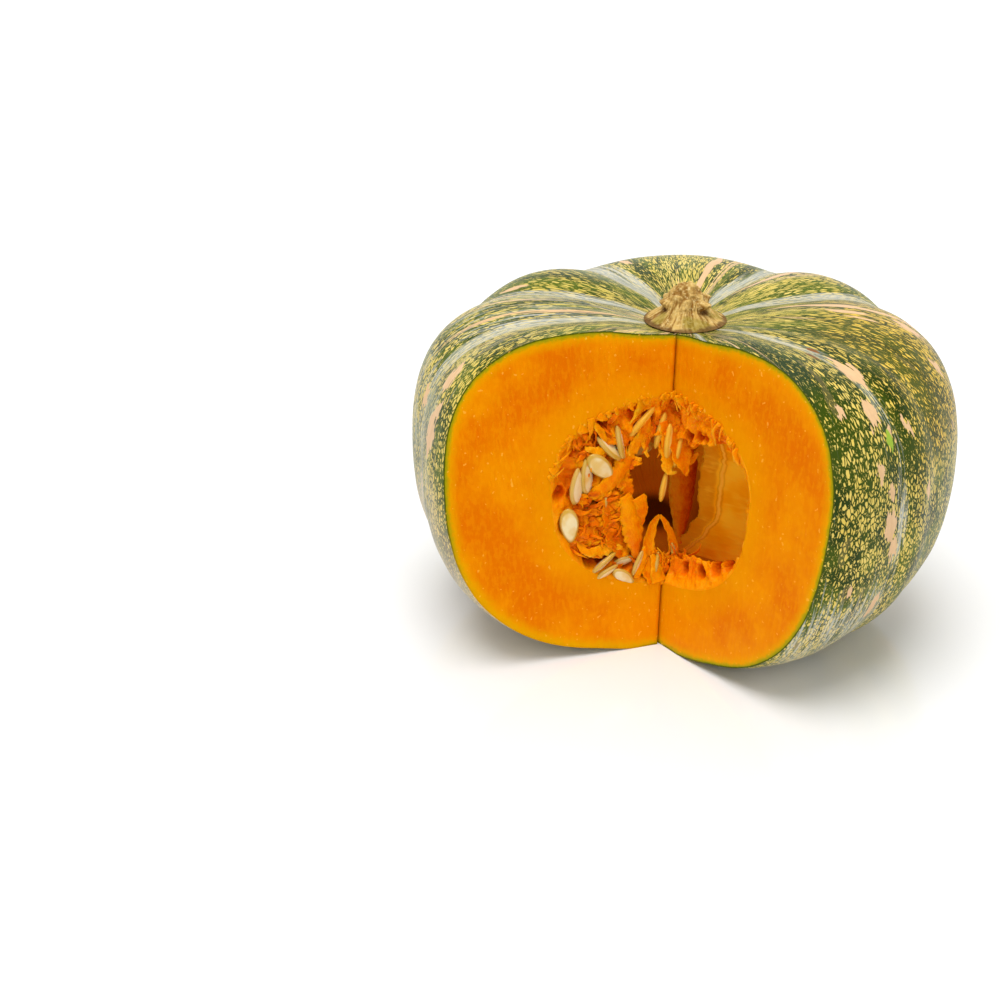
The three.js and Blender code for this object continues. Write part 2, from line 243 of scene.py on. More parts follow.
def hollow():
    latitudes = np.linspace(-math.pi / 2, math.pi / 2, HOLLOW_ALONG)
    points, faces = closed_grid(grid_of(cavity_point, latitudes, around(HOLLOW_AROUND)))
    outwards = points - np.array((0, 0, CAVITY_HEIGHT))
    outwards /= np.linalg.norm(outwards, axis=1, keepdims=True)
    swell = 0.9 * lumps(points, 24, 2.0) + 0.35 * lumps(points, 6, 3.0)
    return new_piece("hollow", points + outwards * swell[:, None], faces)


body = whole_fruit()
hollow_tool = hollow()
skin_tree = BVHTree.FromObject(body, bpy.context.evaluated_depsgraph_get())
hollow_tree = BVHTree.FromObject(hollow_tool, bpy.context.evaluated_depsgraph_get())
print("whole fruit:", len(body.data.polygons), "faces")

# %% [markdown]
# ## The knife's wedge
# The piece that was cut out is a wedge with two knife faces. A plain block would cut dead flat faces. This
# one is dense, and its faces already have the slight waves that a long blade leaves in firm flesh, so the
# cut faces come out of the boolean with real relief on them.

# %% The knife's wedge
KNIFE_REACH, KNIFE_STEP, KNIFE_END = 116, 1.5, 330
KNIFE_LOW, KNIFE_HIGH = -15, 165
BLADE_WAVE = 0.45


def knife_line(height):
    return KNIFE_BOTTOM + KNIFE_LEAN * np.asarray(height)[..., None]


def wedge():
    """A block with two dense knife faces: each ring of it is one level."""
    left_run = np.append(np.arange(SLIT_WIDTH, KNIFE_REACH, KNIFE_STEP), KNIFE_END)
    right_run = np.concatenate([[KNIFE_END], np.arange(KNIFE_REACH, -SLIT_DEPTH, -KNIFE_STEP), [-SLIT_DEPTH]])
    levels = np.arange(KNIFE_LOW, KNIFE_HIGH, KNIFE_STEP)
    run = np.concatenate([left_run, right_run])
    is_left = np.arange(len(run)) < len(left_run)
    angle = np.where(is_left, LEFT_FACE, RIGHT_FACE)
    rings = []
    for level in levels:
        ring = np.stack([run * np.cos(angle), run * np.sin(angle), 0 * run], -1)
        sample = np.stack([run, np.where(is_left, 0, 400.0), 0 * run + level], -1)
        wave = lumps(sample, 34) + 0.4 * lumps(sample * np.array((0.25, 1, 1)), 5, 1.0)
        wave *= BLADE_WAVE * smoothstep(run, 3, 14)
        facing = np.where(is_left[:, None], (1.0, 0.0, 0.0), (math.sin(RIGHT_FACE), -math.cos(RIGHT_FACE), 0.0))
        rings.append(knife_line(level) + ring + wave[:, None] * facing)
    size = len(run)
    faces = [tuple(range(size))[::-1], tuple(range((len(levels) - 1) * size, len(levels) * size))]
    for row in range(len(levels) - 1):
        for column in range(size):
            a = row * size + column
            b = row * size + (column + 1) % size
            faces.append((a, b, b + size, a + size))
    return new_piece("wedge", np.vstack(rings), faces)


wedge_tool = wedge()
print("wedge:", len(wedge_tool.data.polygons), "faces")

# %% [markdown]
# ## Shader maths as Python
# A finish is worked out by nodes. Wiring them by hand hides the idea, so a socket is wrapped in a small
# class: its operators add Math nodes, and `1 - mask` reads as it does on paper. One method makes every
# other node from its type, its settings and its sockets.


# %% Wire and Paint
class Wire:
    """A socket that Python's operators can work on."""

    def __init__(self, paint, socket):
        self.paint = paint
        self.socket = socket

    def __add__(self, other):
        return self.paint.maths("ADD", self, other)

    def __radd__(self, other):
        return self.paint.maths("ADD", other, self)

    def __sub__(self, other):
        return self.paint.maths("SUBTRACT", self, other)

    def __rsub__(self, other):
        return self.paint.maths("SUBTRACT", other, self)

    def __mul__(self, other):
        return self.paint.maths("MULTIPLY", self, other)

    def __rmul__(self, other):
        return self.paint.maths("MULTIPLY", other, self)

    def __truediv__(self, other):
        return self.paint.maths("DIVIDE", self, other)

    def __rtruediv__(self, other):
        return self.paint.maths("DIVIDE", other, self)

    def __pow__(self, other):
        return self.paint.maths("POWER", self, other)

    def __rpow__(self, other):
        return self.paint.maths("POWER", other, self)


class Paint:
    """A material, or the world, with one method that adds any node to it."""

    def __init__(self, name, owner=None):
        self.material = owner or bpy.data.materials.new(name)
        self.material.use_nodes = True
        self.tree = self.material.node_tree
        self.tree.nodes.clear()

    def node(self, kind, settings=None, sockets=None, out=0):
        """Adds a node, sets its settings first, then fills its sockets with values or wires."""
        node = self.tree.nodes.new("ShaderNode" + kind)
        for key, value in (settings or {}).items():
            setattr(node, key, value)
        for key, value in (sockets or {}).items():
            if isinstance(value, Wire):
                self.tree.links.new(value.socket, node.inputs[key])
            else:
                node.inputs[key].default_value = value
        return Wire(self, node.outputs[out]) if node.outputs else None

    def maths(self, operation, first, second=0.0):
        return self.node("Math", {"operation": operation}, {0: first, 1: second})

    def mix(self, share, first, second):
        return self.node("Mix", {"data_type": "RGBA"}, {0: share, 6: first, 7: second}, out=2)

    def ramp(self, value, low, high):
        """0 below low and 1 above high, smooth between."""
        settings = {"interpolation_type": "SMOOTHSTEP"}
        return self.node("MapRange", settings, {"Value": value, "From Min": low, "From Max": high})

    def noise(self, vector, scale, detail=2.0, rough=0.5):
        sockets = {"Vector": vector, "Scale": scale, "Detail": detail, "Roughness": rough}
        return self.node("TexNoise", None, sockets)

    def cells(self, vector, scale, feature="F1", out="Distance"):
        return self.node("TexVoronoi", {"feature": feature}, {"Vector": vector, "Scale": scale}, out)

    def attribute(self, name):
        return self.node("Attribute", {"attribute_name": name}, out="Fac")

    def vector(self, x, y, z):
        return self.node("CombineXYZ", None, {0: x, 1: y, 2: z})

    def part(self, vector, axis):
        return self.node("SeparateXYZ", None, {0: vector}, out=axis)

    def axes(self, vector):
        return [self.part(vector, axis) for axis in range(3)]

    def place(self):
        """The point on the object, in metres."""
        return self.node("TexCoord", out="Object")

    def bump(self, height, distance, strength=1.0):
        sockets = {"Height": height, "Distance": distance, "Strength": strength}
        return self.node("Bump", None, sockets)

    def surface(self, **sockets):
        """The shader: a word such as Base_Color names the socket Base Color."""
        named = {key.replace("_", " "): value for key, value in sockets.items()}
        shader = self.node("BsdfPrincipled", None, named)
        self.node("OutputMaterial", None, {"Surface": shader})
        return self.material


def colour(code):
    """A colour as written on a screen, such as d88a1c, in the linear form that shaders use."""
    parts = [int(code[i : i + 2], 16) / 255 for i in (0, 2, 4)]
    linear = [p / 12.92 if p <= 0.04045 else ((p + 0.055) / 1.055) ** 2.4 for p in parts]
    return (*linear, 1.0)


print("paint ready, mid grey is", round(colour("808080")[0], 3))

# %% [markdown]
# ## The rind: where a point lies
# The real rind is a dark green ground, broken into yellow flecks, with peach blotches along the ribs and
# a silvery wax in the furrows. A painted picture would be tied to one unwrapping of the fruit, so nodes
# draw it instead. Everything stretches along the meridian, because the fruit grew that way. So the
# patterns are drawn on a cylinder round the fruit: the angle gives a point on a circle, and the climb
# towards the stem gives the height. Cells on that cylinder turn into dashes near the stem by themselves,
# as on the fruit.

# %% Places on the rind
RIND_MIDDLE = 0.072
GIRTH_REACH, CLIMB_REACH = 110.0, 68.0  # millimetres of skin for one radian, round the fruit and up it


class OnRind:
    """Where a point lies: its angle, its climb towards the stem, and how near a crest it is."""

    def __init__(self, p):
        self.p = p
        self.place = p.place()
        x, y, self.height = p.axes(self.place)
        radius = (x * x + y * y) ** 0.5 + 0.0005
        self.round = (x / radius, y / radius)
        self.angle = p.maths("ARCTAN2", y, x)
        self.climb = p.maths("ARCTAN2", self.height - RIND_MIDDLE, radius)
        self.rise = p.maths("TANH", 1.2 * self.climb)
        self.spread = p.vector(self.angle * GIRTH_REACH, self.climb * CLIMB_REACH, 0.0)
        self.crest = p.attribute("crest")
        self.wander = p.noise(self.drawn(0.5), 5.0, 2.0)
        self.streaks = p.noise(self.drawn(0.05), 120.0, 3.0)
        self.fray = p.noise(self.drawn(0.09), 90.0, 2.0)
        shoulder = p.ramp(self.climb, 0.1, 0.3) * (1 - p.ramp(self.climb, 0.75, 1.0))
        self.golden = self.towards(60, 0.82, 0.97) * shoulder
        self.dotted = self.towards(17, 0.9, 0.98) * p.ramp(self.climb, -0.1, 0.1)

    def drawn(self, stretch):
        """The cylinder's coordinates, with marks drawn out along the meridian."""
        return self.p.vector(*self.round, self.rise * stretch)

    def towards(self, degrees, low, high):
        """1 on the side of the fruit that faces a direction."""
        return self.p.ramp(self.p.maths("COSINE", self.angle - math.radians(degrees)), low, high)

    def away(self, degrees, level):
        """How far a place on the skin is, in millimetres: a little less along the meridian."""
        middle = (math.radians(degrees) * GIRTH_REACH, level * CLIMB_REACH, 0.0)
        return self.p.node("VectorMath", {"operation": "DISTANCE"}, {0: self.spread, 1: middle}, out="Value")


print("one degree round the fruit is", round(math.radians(1) * GIRTH_REACH, 2), "mm of skin")

# %% [markdown]
# ## The rind: ground, wax and painted sheen
# Under everything lies green, darkest beside the right knife face and olive on the lobe that faced the sun.
# Wax settles in the furrows, on the shoulder and on two flanks; on the flanks the silver is partly wax
# bloom and partly painted sheen, where light glances off the waxy skin. It runs down the fruit in streaks,
# so one noise, drawn out very long, both breaks its border and shades it.


# %% Ground, wax and sheen
def ground_wax_and_sheen(p, on):
    """The ground under its wax and sheen, how much of them there is, and their colour."""
    clouds = p.ramp(p.noise(on.drawn(0.6), 11.0, 3.0), 0.35, 0.65)
    ground = p.mix(clouds, colour("283a05"), colour("50600b"))
    ground = p.mix(0.6 * on.golden, ground, colour("4a4608"))
    ground = p.mix(0.6 * on.dotted, ground, colour("1e3203"))
    furrows = on.crest + 0.7 * (on.wander - 0.5) - 0.12 * p.ramp(on.climb, 0.6, 1.1)
    full = p.maths("MAXIMUM", p.ramp(on.climb, 0.3, 0.7), on.towards(35, 0.95, 0.99))
    cover = (1 - p.ramp(furrows, 0.0, 0.4)) * (0.6 + 0.4 * full)
    # on the flanks the silver is partly wax bloom and partly painted sheen, where light glances off the waxy skin
    for flank_wax_and_sheen in (
        0.55 * on.towards(-104, 0.9, 0.99) * (1 - p.ramp(on.climb, 0.3, 0.65)),
        0.5 * on.towards(-112, 0.85, 0.97) * p.ramp(on.climb, 0.3, 0.6),
        0.75 * on.towards(14, 0.94, 0.99) * (1 - p.ramp(on.climb, -0.35, 0.0)),
    ):
        cover = p.maths("MAXIMUM", cover, flank_wax_and_sheen)
    wax_and_sheen = p.ramp(0.85 * cover + 1.7 * (on.streaks - 0.5), 0.25, 0.9)
    silver = p.mix(p.ramp(on.streaks, 0.38, 0.62), colour("949587"), colour("c9c9bf"))
    return p.mix(0.72 * wax_and_sheen, ground, silver), wax_and_sheen, silver


print("ground and wax ready")

# %% [markdown]
# ## The rind: flecks
# A fleck is a small closed patch with green all round it. Voronoi cells give just that: the distance to
# a cell's edge, less a gap that differs from cell to cell, leaves one fleck in each cell. The cells are
# shaken a little first, so that their borders aren't straight.

# %% Flecks
FLECKS = 78.0  # cells for each radius of the fruit


def flecked(p, on, ground, wax_and_sheen, silver):
    """The ground with its yellow flecks, and crumbs between them."""
    shake = p.node("TexNoise", None, {"Vector": on.drawn(0.6), "Scale": 38.0}, out="Color")
    shake = p.node("VectorMath", {"operation": "SCALE"}, {0: shake, "Scale": 0.02})
    marks = p.node("VectorMath", {"operation": "ADD"}, {0: on.drawn(0.46), 1: shake})
    luck = p.part(p.cells(marks, FLECKS, out="Color"), 0)
    gap = 0.09 + 0.13 * luck + 0.16 * (p.ramp(on.wander, 0.35, 0.7) - 0.45) + 0.05 * on.dotted
    fleck = p.ramp(p.cells(marks, FLECKS, "DISTANCE_TO_EDGE") - gap, -0.01, 0.08)
    crumbs = (1 - p.ramp(p.cells(marks, 2.3 * FLECKS), 0.2, 0.32)) * (1 - fleck)
    cream = p.mix(p.noise(on.drawn(0.5), 16.0), colour("dcbc40"), colour("f0d87c"))
    cream = p.mix(0.75 * on.golden, cream, colour("ecc03c"))
    cream = p.mix(0.5 * wax_and_sheen, cream, colour("d2cfbd"))
    painted = p.mix(0.9 * fleck, ground, cream)
    painted = p.mix(0.45 * crumbs, painted, cream)
    return p.mix(0.22 * wax_and_sheen, painted, silver)


print("a fleck is about", round(1000 * 0.11 / FLECKS, 1), "mm wide")

# %% [markdown]
# ## The rind: blotches and scars
# Peach blotches lie along the crests, and thin peach rays start at the stem. On the sides that the camera
# doesn't see a noise scatters them. Beside the knife faces each one that stands out has its own place,
# with a border frayed by noise, because these are what tells one fruit from another.

# %% Blotches and scars
# peach blotches that stand out: direction in degrees, climb towards the stem, half width in millimetres
BLOTCHES = [
    (27, 0.63, 4.7), (22, 0.47, 3.9), (20, 0.41, 1.6), (26, 0.38, 1.6), (19.5, 0.27, 2.5), (23, 0.19, 1.8),
    (23, 0.06, 4.2), (24.5, -0.03, 3.0), (31, 0.38, 1.8), (68, 0.58, 4.0), (59, 0.45, 3.0), (37, 0.12, 2.6),
    (12.5, -0.14, 1.8), (24, -0.28, 3.8), (13, 0.5, 2.0), (-89, 0.45, 4.0), (-88, 0.24, 5.4), (-87, 0.33, 2.8),
    (-126, 0.67, 3.8), (-95, -0.02, 4.0), (-101, 0.3, 3.0), (-92, -0.3, 5.0),
]
# corky scars and one unripe spot: direction in degrees, climb, radius in millimetres, colour
SCARS = [
    (23, 0.76, 2.0, "7a4a1c"), (28, 0.79, 1.2, "84552a"), (24.5, 0.36, 2.5, "96b236"), (-93, 0.6, 1.8, "7a6a3a"),
]


def blotched(p, on, painted):
    """The rind with its blotches, its rays, the pale foot of the left flank and its scars."""
    ragged = 4.0 * (on.fray - 0.5) + 8.0 * (p.noise(on.drawn(0.5), 46.0, 3.0) - 0.5)
    field = p.noise(on.drawn(0.5), 10.0, 1.0) + 0.012 * ragged + 0.12 * (on.crest - 0.7)
    front = p.maths("MAXIMUM", on.towards(28, 0.8, 0.95), on.towards(-95, 0.8, 0.95))
    blotch = p.ramp(field, 0.66, 0.68) * (1 - 0.9 * front)
    for degrees, level, size in BLOTCHES:
        blotch = p.maths("MAXIMUM", blotch, p.ramp(size + ragged - on.away(degrees, level), 0.0, 0.5))
    ray = p.ramp(p.noise(on.drawn(0.03), 24.0, 1.0) + 0.1 * (on.fray - 0.5), 0.66, 0.69)
    ray = ray * p.ramp(on.climb, 0.35, 0.7) * p.ramp(on.crest, 0.3, 0.6)
    blotch = p.maths("MAXIMUM", blotch, ray * (1 - 0.85 * on.towards(30, 0.85, 0.97)))
    peach = p.mix(p.noise(on.drawn(0.3), 40.0), colour("d6a877"), colour("e9c598"))
    painted = p.mix(0.95 * blotch, painted, peach)
    pale = (1 - p.ramp(on.height + 0.05 * (on.wander - 0.5), 0.035, 0.09)) * on.towards(-98, 0.75, 0.97)
    painted = p.mix(0.58 * pale, painted, p.mix(on.streaks, colour("c9a98a"), colour("d6cfc0")))
    for degrees, level, size, code in SCARS:
        mark = p.ramp(size + 0.5 * ragged - on.away(degrees, level), 0.0, 0.6)
        painted = p.mix(mark, painted, colour(code))
    return painted


def rind_finish():
    p = Paint("rind")
    on = OnRind(p)
    ground, wax_and_sheen, silver = ground_wax_and_sheen(p, on)
    return p.surface(
        Base_Color=blotched(p, on, flecked(p, on, ground, wax_and_sheen, silver)),
        Roughness=0.34 + 0.1 * wax_and_sheen,
        Normal=p.bump(on.streaks + p.noise(on.place, 260.0, 1.0), 0.0003, 0.5),
        Specular_IOR_Level=0.09,
        Coat_Weight=0.02,
        Coat_Roughness=0.16,
    )


rind = rind_finish()
print("rind:", len(rind.node_tree.nodes), "nodes")

# %% [markdown]
# ## The flesh on the knife faces
# Flesh is green just under the rind, yellow a little deeper, orange in the middle and yellow again round
# the cavity. A gradient from the axis outwards would be simpler, but the skin and the hollow differ in
# shape. So each point of the body carries two depths, to the skin and to the hollow, measured when the
# fruit is cut, and the finish reads them.

# %% Flesh finish
WET_TINT = (1.0, 0.45, 0.05, 1.0)
FLESH_REACH = (1.0, 0.35, 0.08)  # how far red, green and blue light wander in wet orange flesh


def flesh_finish():
    p = Paint("flesh")
    place = p.place()
    x, y, z = p.axes(place)
    deep = p.attribute("skin_depth")
    hollow_depth = p.attribute("hollow_depth")
    patches = p.noise(place, 38.0, 3.0)
    grain = p.noise(place, 420.0, 3.0, 0.6)
    fibres = p.noise(p.vector(x, y, z * 0.3), 620.0, 2.0)
    base = p.mix(p.ramp(patches, 0.36, 0.66), colour("dd7000"), colour("e78a00"))
    base = p.mix(0.22 * p.ramp(fibres + 0.9 * (grain - 0.5), 0.4, 0.7), base, colour("f2a60a"))
    halo = 1 - p.ramp(hollow_depth + 9 * (patches - 0.5), 2.0, 17.0)
    base = p.mix(0.6 * halo, base, colour("e69800"))
    rim = 1 - p.ramp(deep + 5 * (grain - 0.5) + 4 * (patches - 0.5), 1.2, 6.5)
    base = p.mix(0.8 * rim, base, colour("e0a400"))
    green = 1 - p.ramp(deep + 2.4 * (grain - 0.5) + 2 * (patches - 0.5), 0.7, 2.9)
    ripe = (1 - p.ramp(z, 0.03, 0.08)) * (1 - p.ramp(y, -0.04, -0.01))
    base = p.mix(0.85 * green * (1 - 0.9 * ripe), base, colour("8c9410"))
    edge = 1 - p.ramp(deep + 0.6 * (grain - 0.5), 0.3, 0.9)
    base = p.mix(0.9 * edge * (1 - 0.8 * ripe), base, colour("32480f"))
    # painted highlights: tiny pale specks stand in for the glints of moisture on the cut flesh
    painted_glints = p.ramp(p.noise(place, 620.0, 0.0) + 0.15 * (patches - 0.5), 0.76, 0.82)
    base = p.mix(0.4 * painted_glints, base, colour("ffc04a"))
    # painted shade: the walls of the narrow slit that the knife left behind the knife line are darkened nearly to
    # black
    slit_shade = p.ramp((KNIFE_BOTTOM[0] * MM + KNIFE_LEAN[0] * z) - x, 0.001, 0.0022)
    base = p.mix(0.95 * slit_shade, base, colour("2a0c00"))
    return p.surface(
        Base_Color=base,
        Roughness=0.34 + 0.2 * grain,
        Normal=p.bump(grain + fibres, 0.0004, 0.4),
        Specular_IOR_Level=0.06,
        Specular_Tint=WET_TINT,
        Subsurface_Weight=0.22,
        Subsurface_Radius=FLESH_REACH,
        Subsurface_Scale=0.003,
    )


flesh = flesh_finish()
print("flesh:", len(flesh.node_tree.nodes), "nodes")

# %% [markdown]
# ## The wall of the hollow
# Inside, the wall is wet, combed by fibres and lit through the flesh. Real light through so thick a wall
# would take very many samples, so the wall gives off a little light of its own instead. The corners that
# light doesn't reach are darkened in the colour.

# %% Wall finish
GLOW = 0.1  # light that comes through the flesh into the hollow


def wall_finish():
    p = Paint("cavity_wall")
    place = p.place()
    x, y, z = p.axes(place)
    angle = p.maths("ARCTAN2", y, x)
    fibres = p.noise(p.vector(angle * 60.0, z * 90.0, 0.0), 1.0, 3.0)
    patches = p.noise(place, 30.0, 2.0)
    # painted shade: an arc of the wall that the right sheet hides from the light, and a dark pocket at the back on
    # the left, are darkened in the colour
    past = p.ramp(angle, math.radians(140), math.radians(153))
    shaded_part = p.ramp(angle, math.radians(95), math.radians(112)) * (1 - past)
    away = p.node("VectorMath", {"operation": "DISTANCE"}, {0: place, 1: (-0.037, 0.004, 0.028)}, out="Value")
    painted_shade = p.maths("MAXIMUM", 0.55 * shaded_part, 1 - p.ramp(away + 0.01 * (patches - 0.5), 0.008, 0.018))
    base = p.mix(p.ramp(patches, 0.35, 0.7), colour("e07a08"), colour("ee9a1c"))
    base = p.mix(0.5 * p.ramp(fibres, 0.5, 0.72), base, colour("c66206"))
    base = p.mix(0.93 * painted_shade, base, colour("240c00"))
    return p.surface(
        Base_Color=base,
        Roughness=0.4,
        Normal=p.bump(fibres, 0.0006, 0.5),
        Specular_Tint=WET_TINT,
        Emission_Color=base,
        Emission_Strength=GLOW,
        Subsurface_Weight=0.2,
        Subsurface_Radius=FLESH_REACH,
        Subsurface_Scale=0.004,
    )


wall = wall_finish()
print("wall:", len(wall.node_tree.nodes), "nodes")

# %% [markdown]
# ## Cutting the fruit
# A face could be given its finish by hand after the cut. The boolean does it: it keeps the material of
# whichever blank a face came from, so the skin stays rind, the knife faces become flesh and the hollow
# becomes cavity wall.

# %% Cut
for blank, finish in ((body, rind), (wedge_tool, flesh), (hollow_tool, wall)):
    blank.data.materials.append(finish)
for tool in (hollow_tool, wedge_tool):
    cut = body.modifiers.new(tool.name, "BOOLEAN")
    cut.operation, cut.object, cut.solver = "DIFFERENCE", tool, "MANIFOLD"
    cut.material_mode = "TRANSFER"


def applied(piece):
    """The piece's mesh with its modifiers worked in."""
    graph = bpy.context.evaluated_depsgraph_get()
    mesh = bpy.data.meshes.new_from_object(piece.evaluated_get(graph))
    piece.modifiers.clear()
    piece.data = mesh
    return mesh


mesh = applied(body)
for tool in (hollow_tool, wedge_tool):
    bpy.data.objects.remove(tool)
counts = np.bincount([f.material_index for f in mesh.polygons])
print("cut fruit:", len(mesh.polygons), "faces, by finish", counts.tolist(), [m.name for m in mesh.materials])

# %% [markdown]
# ## What the finishes read
# A knife leaves a crisp border between skin and flesh, so the edges between two finishes are marked sharp
# in the smooth mesh. The depths and the crests are stored on the points: a finish could work them out
# again with nodes, but a stored number is exact and costs nothing to draw.


# %% Borders, depths and crests
def sharpen_borders(mesh):
    """Marks the edges between two materials sharp."""
    owner = {}
    sharp = np.zeros(len(mesh.edges), bool)
    for polygon in mesh.polygons:
        for loop in polygon.loop_indices:
            edge = mesh.loops[loop].edge_index
            if owner.setdefault(edge, polygon.material_index) != polygon.material_index:
                sharp[edge] = True
    mesh.attributes.new("sharp_edge", "BOOLEAN", "EDGE").data.foreach_set("value", sharp)
    return sharp.sum()


def add_depth(mesh, name, tree):
    """Stores each point's distance to a surface, in millimetres."""
    depths = [tree.find_nearest(vertex.co)[3] / MM for vertex in mesh.vertices]
    mesh.attributes.new(name, "FLOAT", "POINT").data.foreach_set("value", depths)


def add_crest(mesh):
    """Stores how far each point is from the bottom of a furrow, from 0 to 1."""
    azimuths = np.array([math.atan2(vertex.co.y, vertex.co.x) for vertex in mesh.vertices])
    mesh.attributes.new("crest", "FLOAT", "POINT").data.foreach_set("value", 1 - furrow(azimuths))


mesh.shade_smooth()
print("sharp edges:", sharpen_borders(mesh))
add_crest(mesh)
add_depth(mesh, "skin_depth", skin_tree)
add_depth(mesh, "hollow_depth", hollow_tree)
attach(body, "root")
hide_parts("flesh_and_rind")

# %% [markdown]
# ## Places in the cut
# The pulp is described as the eye meets it: so far out from the knife line along one knife face, so high
# above the table, and so deep behind the face. The rim of the hollow in a face is found by halving: step
# out from the middle, and go back half way whenever the step has left the hollow.


# %% Places behind the knife faces
def face_point(side, out, height, depth=0.0):
    """A point so far out along a knife face, so high, and so deep behind it."""
    out, height, depth = np.broadcast_arrays(*(np.asarray(v, float) for v in (out, height, depth)))
    angle = LEFT_FACE if side == "left" else RIGHT_FACE
    behind = angle - math.pi / 2 if side == "left" else angle + math.pi / 2
    x = out * math.cos(angle) + depth * math.cos(behind)
    y = out * math.sin(angle) + depth * math.sin(behind)
    return knife_line(height) + np.stack([x, y, 0 * x], -1)


def mouth(side, turn):
    """How far the rim of the hollow is from its middle on the knife line, in each direction."""
    low, high = np.full(turn.shape, 5.0), np.full(turn.shape, 95.0)
    for _ in range(24):
        middle = (low + high) / 2
        place = face_point(side, middle * np.cos(turn), CAVITY_HEIGHT + middle * np.sin(turn))
        rise = np.where(place[..., 2] > CAVITY_HEIGHT, CAVITY_ROOF, CAVITY_FLOOR)
        fill = (np.hypot(place[..., 0], place[..., 1]) / CAVITY_RADIUS) ** CAVITY_FULLNESS
        fill += (np.abs(place[..., 2] - CAVITY_HEIGHT) / rise) ** CAVITY_FULLNESS
        low, high = np.where(fill < 1, middle, low), np.where(fill < 1, high, middle)
    return low


print("hollow's rim, left and right of the knife line:", mouth("left", np.zeros(1)), mouth("right", np.zeros(1)))

# %% [markdown]
# ## Forms of pulp
# Three forms make all of the pulp: a shell between two grids of points, for pads that line the hollow; a
# torn strip along a bent line, for flaps and fibres; and a seed. Each form carries a tone for every
# point, dark in the pits as painted shade and light on the torn edges, which its finish turns into a colour.


# %% Shell, strip and seed
chance = np.random.default_rng(11)
SEED_LENGTH, SEED_WIDTH, SEED_THICKNESS = 17, 8.6, 3.4


def unit(vector):
    vector = np.asarray(vector, float)
    return vector / np.linalg.norm(vector, axis=-1, keepdims=True)


def shell(front, back, tone):
    """A closed shell between two grids of points of the same shape."""
    rows, columns, _ = front.shape
    index = np.arange(rows * columns).reshape(rows, columns)
    quads = np.stack([index[:-1, :-1], index[:-1, 1:], index[1:, 1:], index[1:, :-1]], -1).reshape(-1, 4)
    border = np.concatenate([index[0, :-1], index[:-1, -1], index[-1, :0:-1], index[:0:-1, 0]])
    following = np.roll(border, -1)
    sides = np.stack([following, border, border + index.size, following + index.size], -1)
    faces = np.vstack([quads, quads[:, ::-1] + index.size, sides])
    return np.vstack([front.reshape(-1, 3), back.reshape(-1, 3)]), faces.tolist(), np.tile(tone.ravel(), 2)


def strip(spine, widths, facing, thickness=0.8, jag=0.25, curl=0.0, tones=(0.45, 0.8), fade=0.0, shape=(30, 9)):
    """A torn strip along a bent line, with its flat side towards facing."""
    knots = np.linspace(0, 1, len(spine))
    share = np.linspace(0, 1, shape[0])
    bend = np.polyfit(knots, np.asarray(spine, float), len(spine) - 1)
    line = sum(term * share[:, None] ** (len(spine) - 1 - power) for power, term in enumerate(bend))
    line += 0.35 * np.stack([lumps(line, 4, axis * 7.0) for axis in range(3)], -1)
    side = unit(np.cross(facing, np.gradient(line, axis=0)))
    flat = unit(np.cross(np.gradient(line, axis=0), side))
    across = np.linspace(-1, 1, shape[1])
    width = 0.5 * np.interp(share, np.linspace(0, 1, len(widths)), widths)
    left = width * (1 + jag * (lumps(line, 1.6) + lumps(line, 4.5)))
    right = width * (1 + jag * (lumps(line, 1.6, 9.0) + lumps(line, 4.5, 9.0)))
    reach = np.where(across < 0, left[:, None], right[:, None]) * across
    middle = line[:, None] + side[:, None] * reach[..., None]
    middle = middle + flat[:, None] * (curl * width[:, None] * across**2)[..., None]
    ripple = lumps(middle.reshape(-1, 3), 2.6, 4.0).reshape(reach.shape)
    middle = middle + flat[:, None] * (0.35 * ripple)[..., None]
    half = 0.5 * thickness * (1 - 0.75 * across**4)[None, :, None] * flat[:, None]
    # the tone may also fall across the strip's width: painted shade on the side that turns away from the light
    tone = blend(tones[0], tones[1], share)[:, None] + fade * across + 0.14 * across**4 + 0.16 * ripple
    return shell(middle + half, middle - half, tone)


def seed(tip, direction, facing, size=1.0):
    """A flat drop from its tip along a direction, with its flat side towards facing."""
    along = unit(direction)
    side = unit(np.cross(facing, along))
    flat = np.cross(along, side)
    turn, share = np.meshgrid(around(30), np.linspace(0, math.pi, 17))
    spread = np.sin(share)
    middle = 0.56 * SEED_LENGTH
    taper = 1 - 0.34 * np.maximum(-np.cos(turn), 0) ** 1.5
    length = middle + np.where(np.cos(turn) < 0, middle, SEED_LENGTH - middle) * np.cos(turn) * spread
    width = 0.5 * SEED_WIDTH * np.sin(turn) * spread * taper
    rim = 0.18 * np.exp(-(((spread - 0.86) / 0.07) ** 2))
    thick = SEED_THICKNESS * (0.5 * np.cos(share) + rim * np.sign(np.cos(share)) * 0.35)
    local = size * np.stack([length, width, thick], -1)
    grid = np.asarray(tip) + local @ np.stack([along, side, flat])
    points, faces = closed_grid(grid)
    tone = np.concatenate([[0.0], spread[1:-1].ravel(), [0.0]])
    return points, faces, tone


def gather(name, forms, material, node):
    """One piece from several forms, in place of a node of the frame."""
    points, faces, tones, start = [], [], [], 0
    for form_points, form_faces, form_tone in forms:
        points.append(form_points)
        tones.append(form_tone)
        faces += [tuple(index + start for index in face) for face in form_faces]
        start += len(form_points)
    piece = new_piece(name, np.vstack(points), faces, material)
    piece.data.attributes.new("tone", "FLOAT", "POINT").data.foreach_set("value", np.concatenate(tones))
    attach(piece, "root")
    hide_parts(node)
    print(name, len(piece.data.polygons), "faces")


print("a seed has", len(seed((0, 0, 0), (1, 0, 0), (0, 0, 1))[1]), "faces")
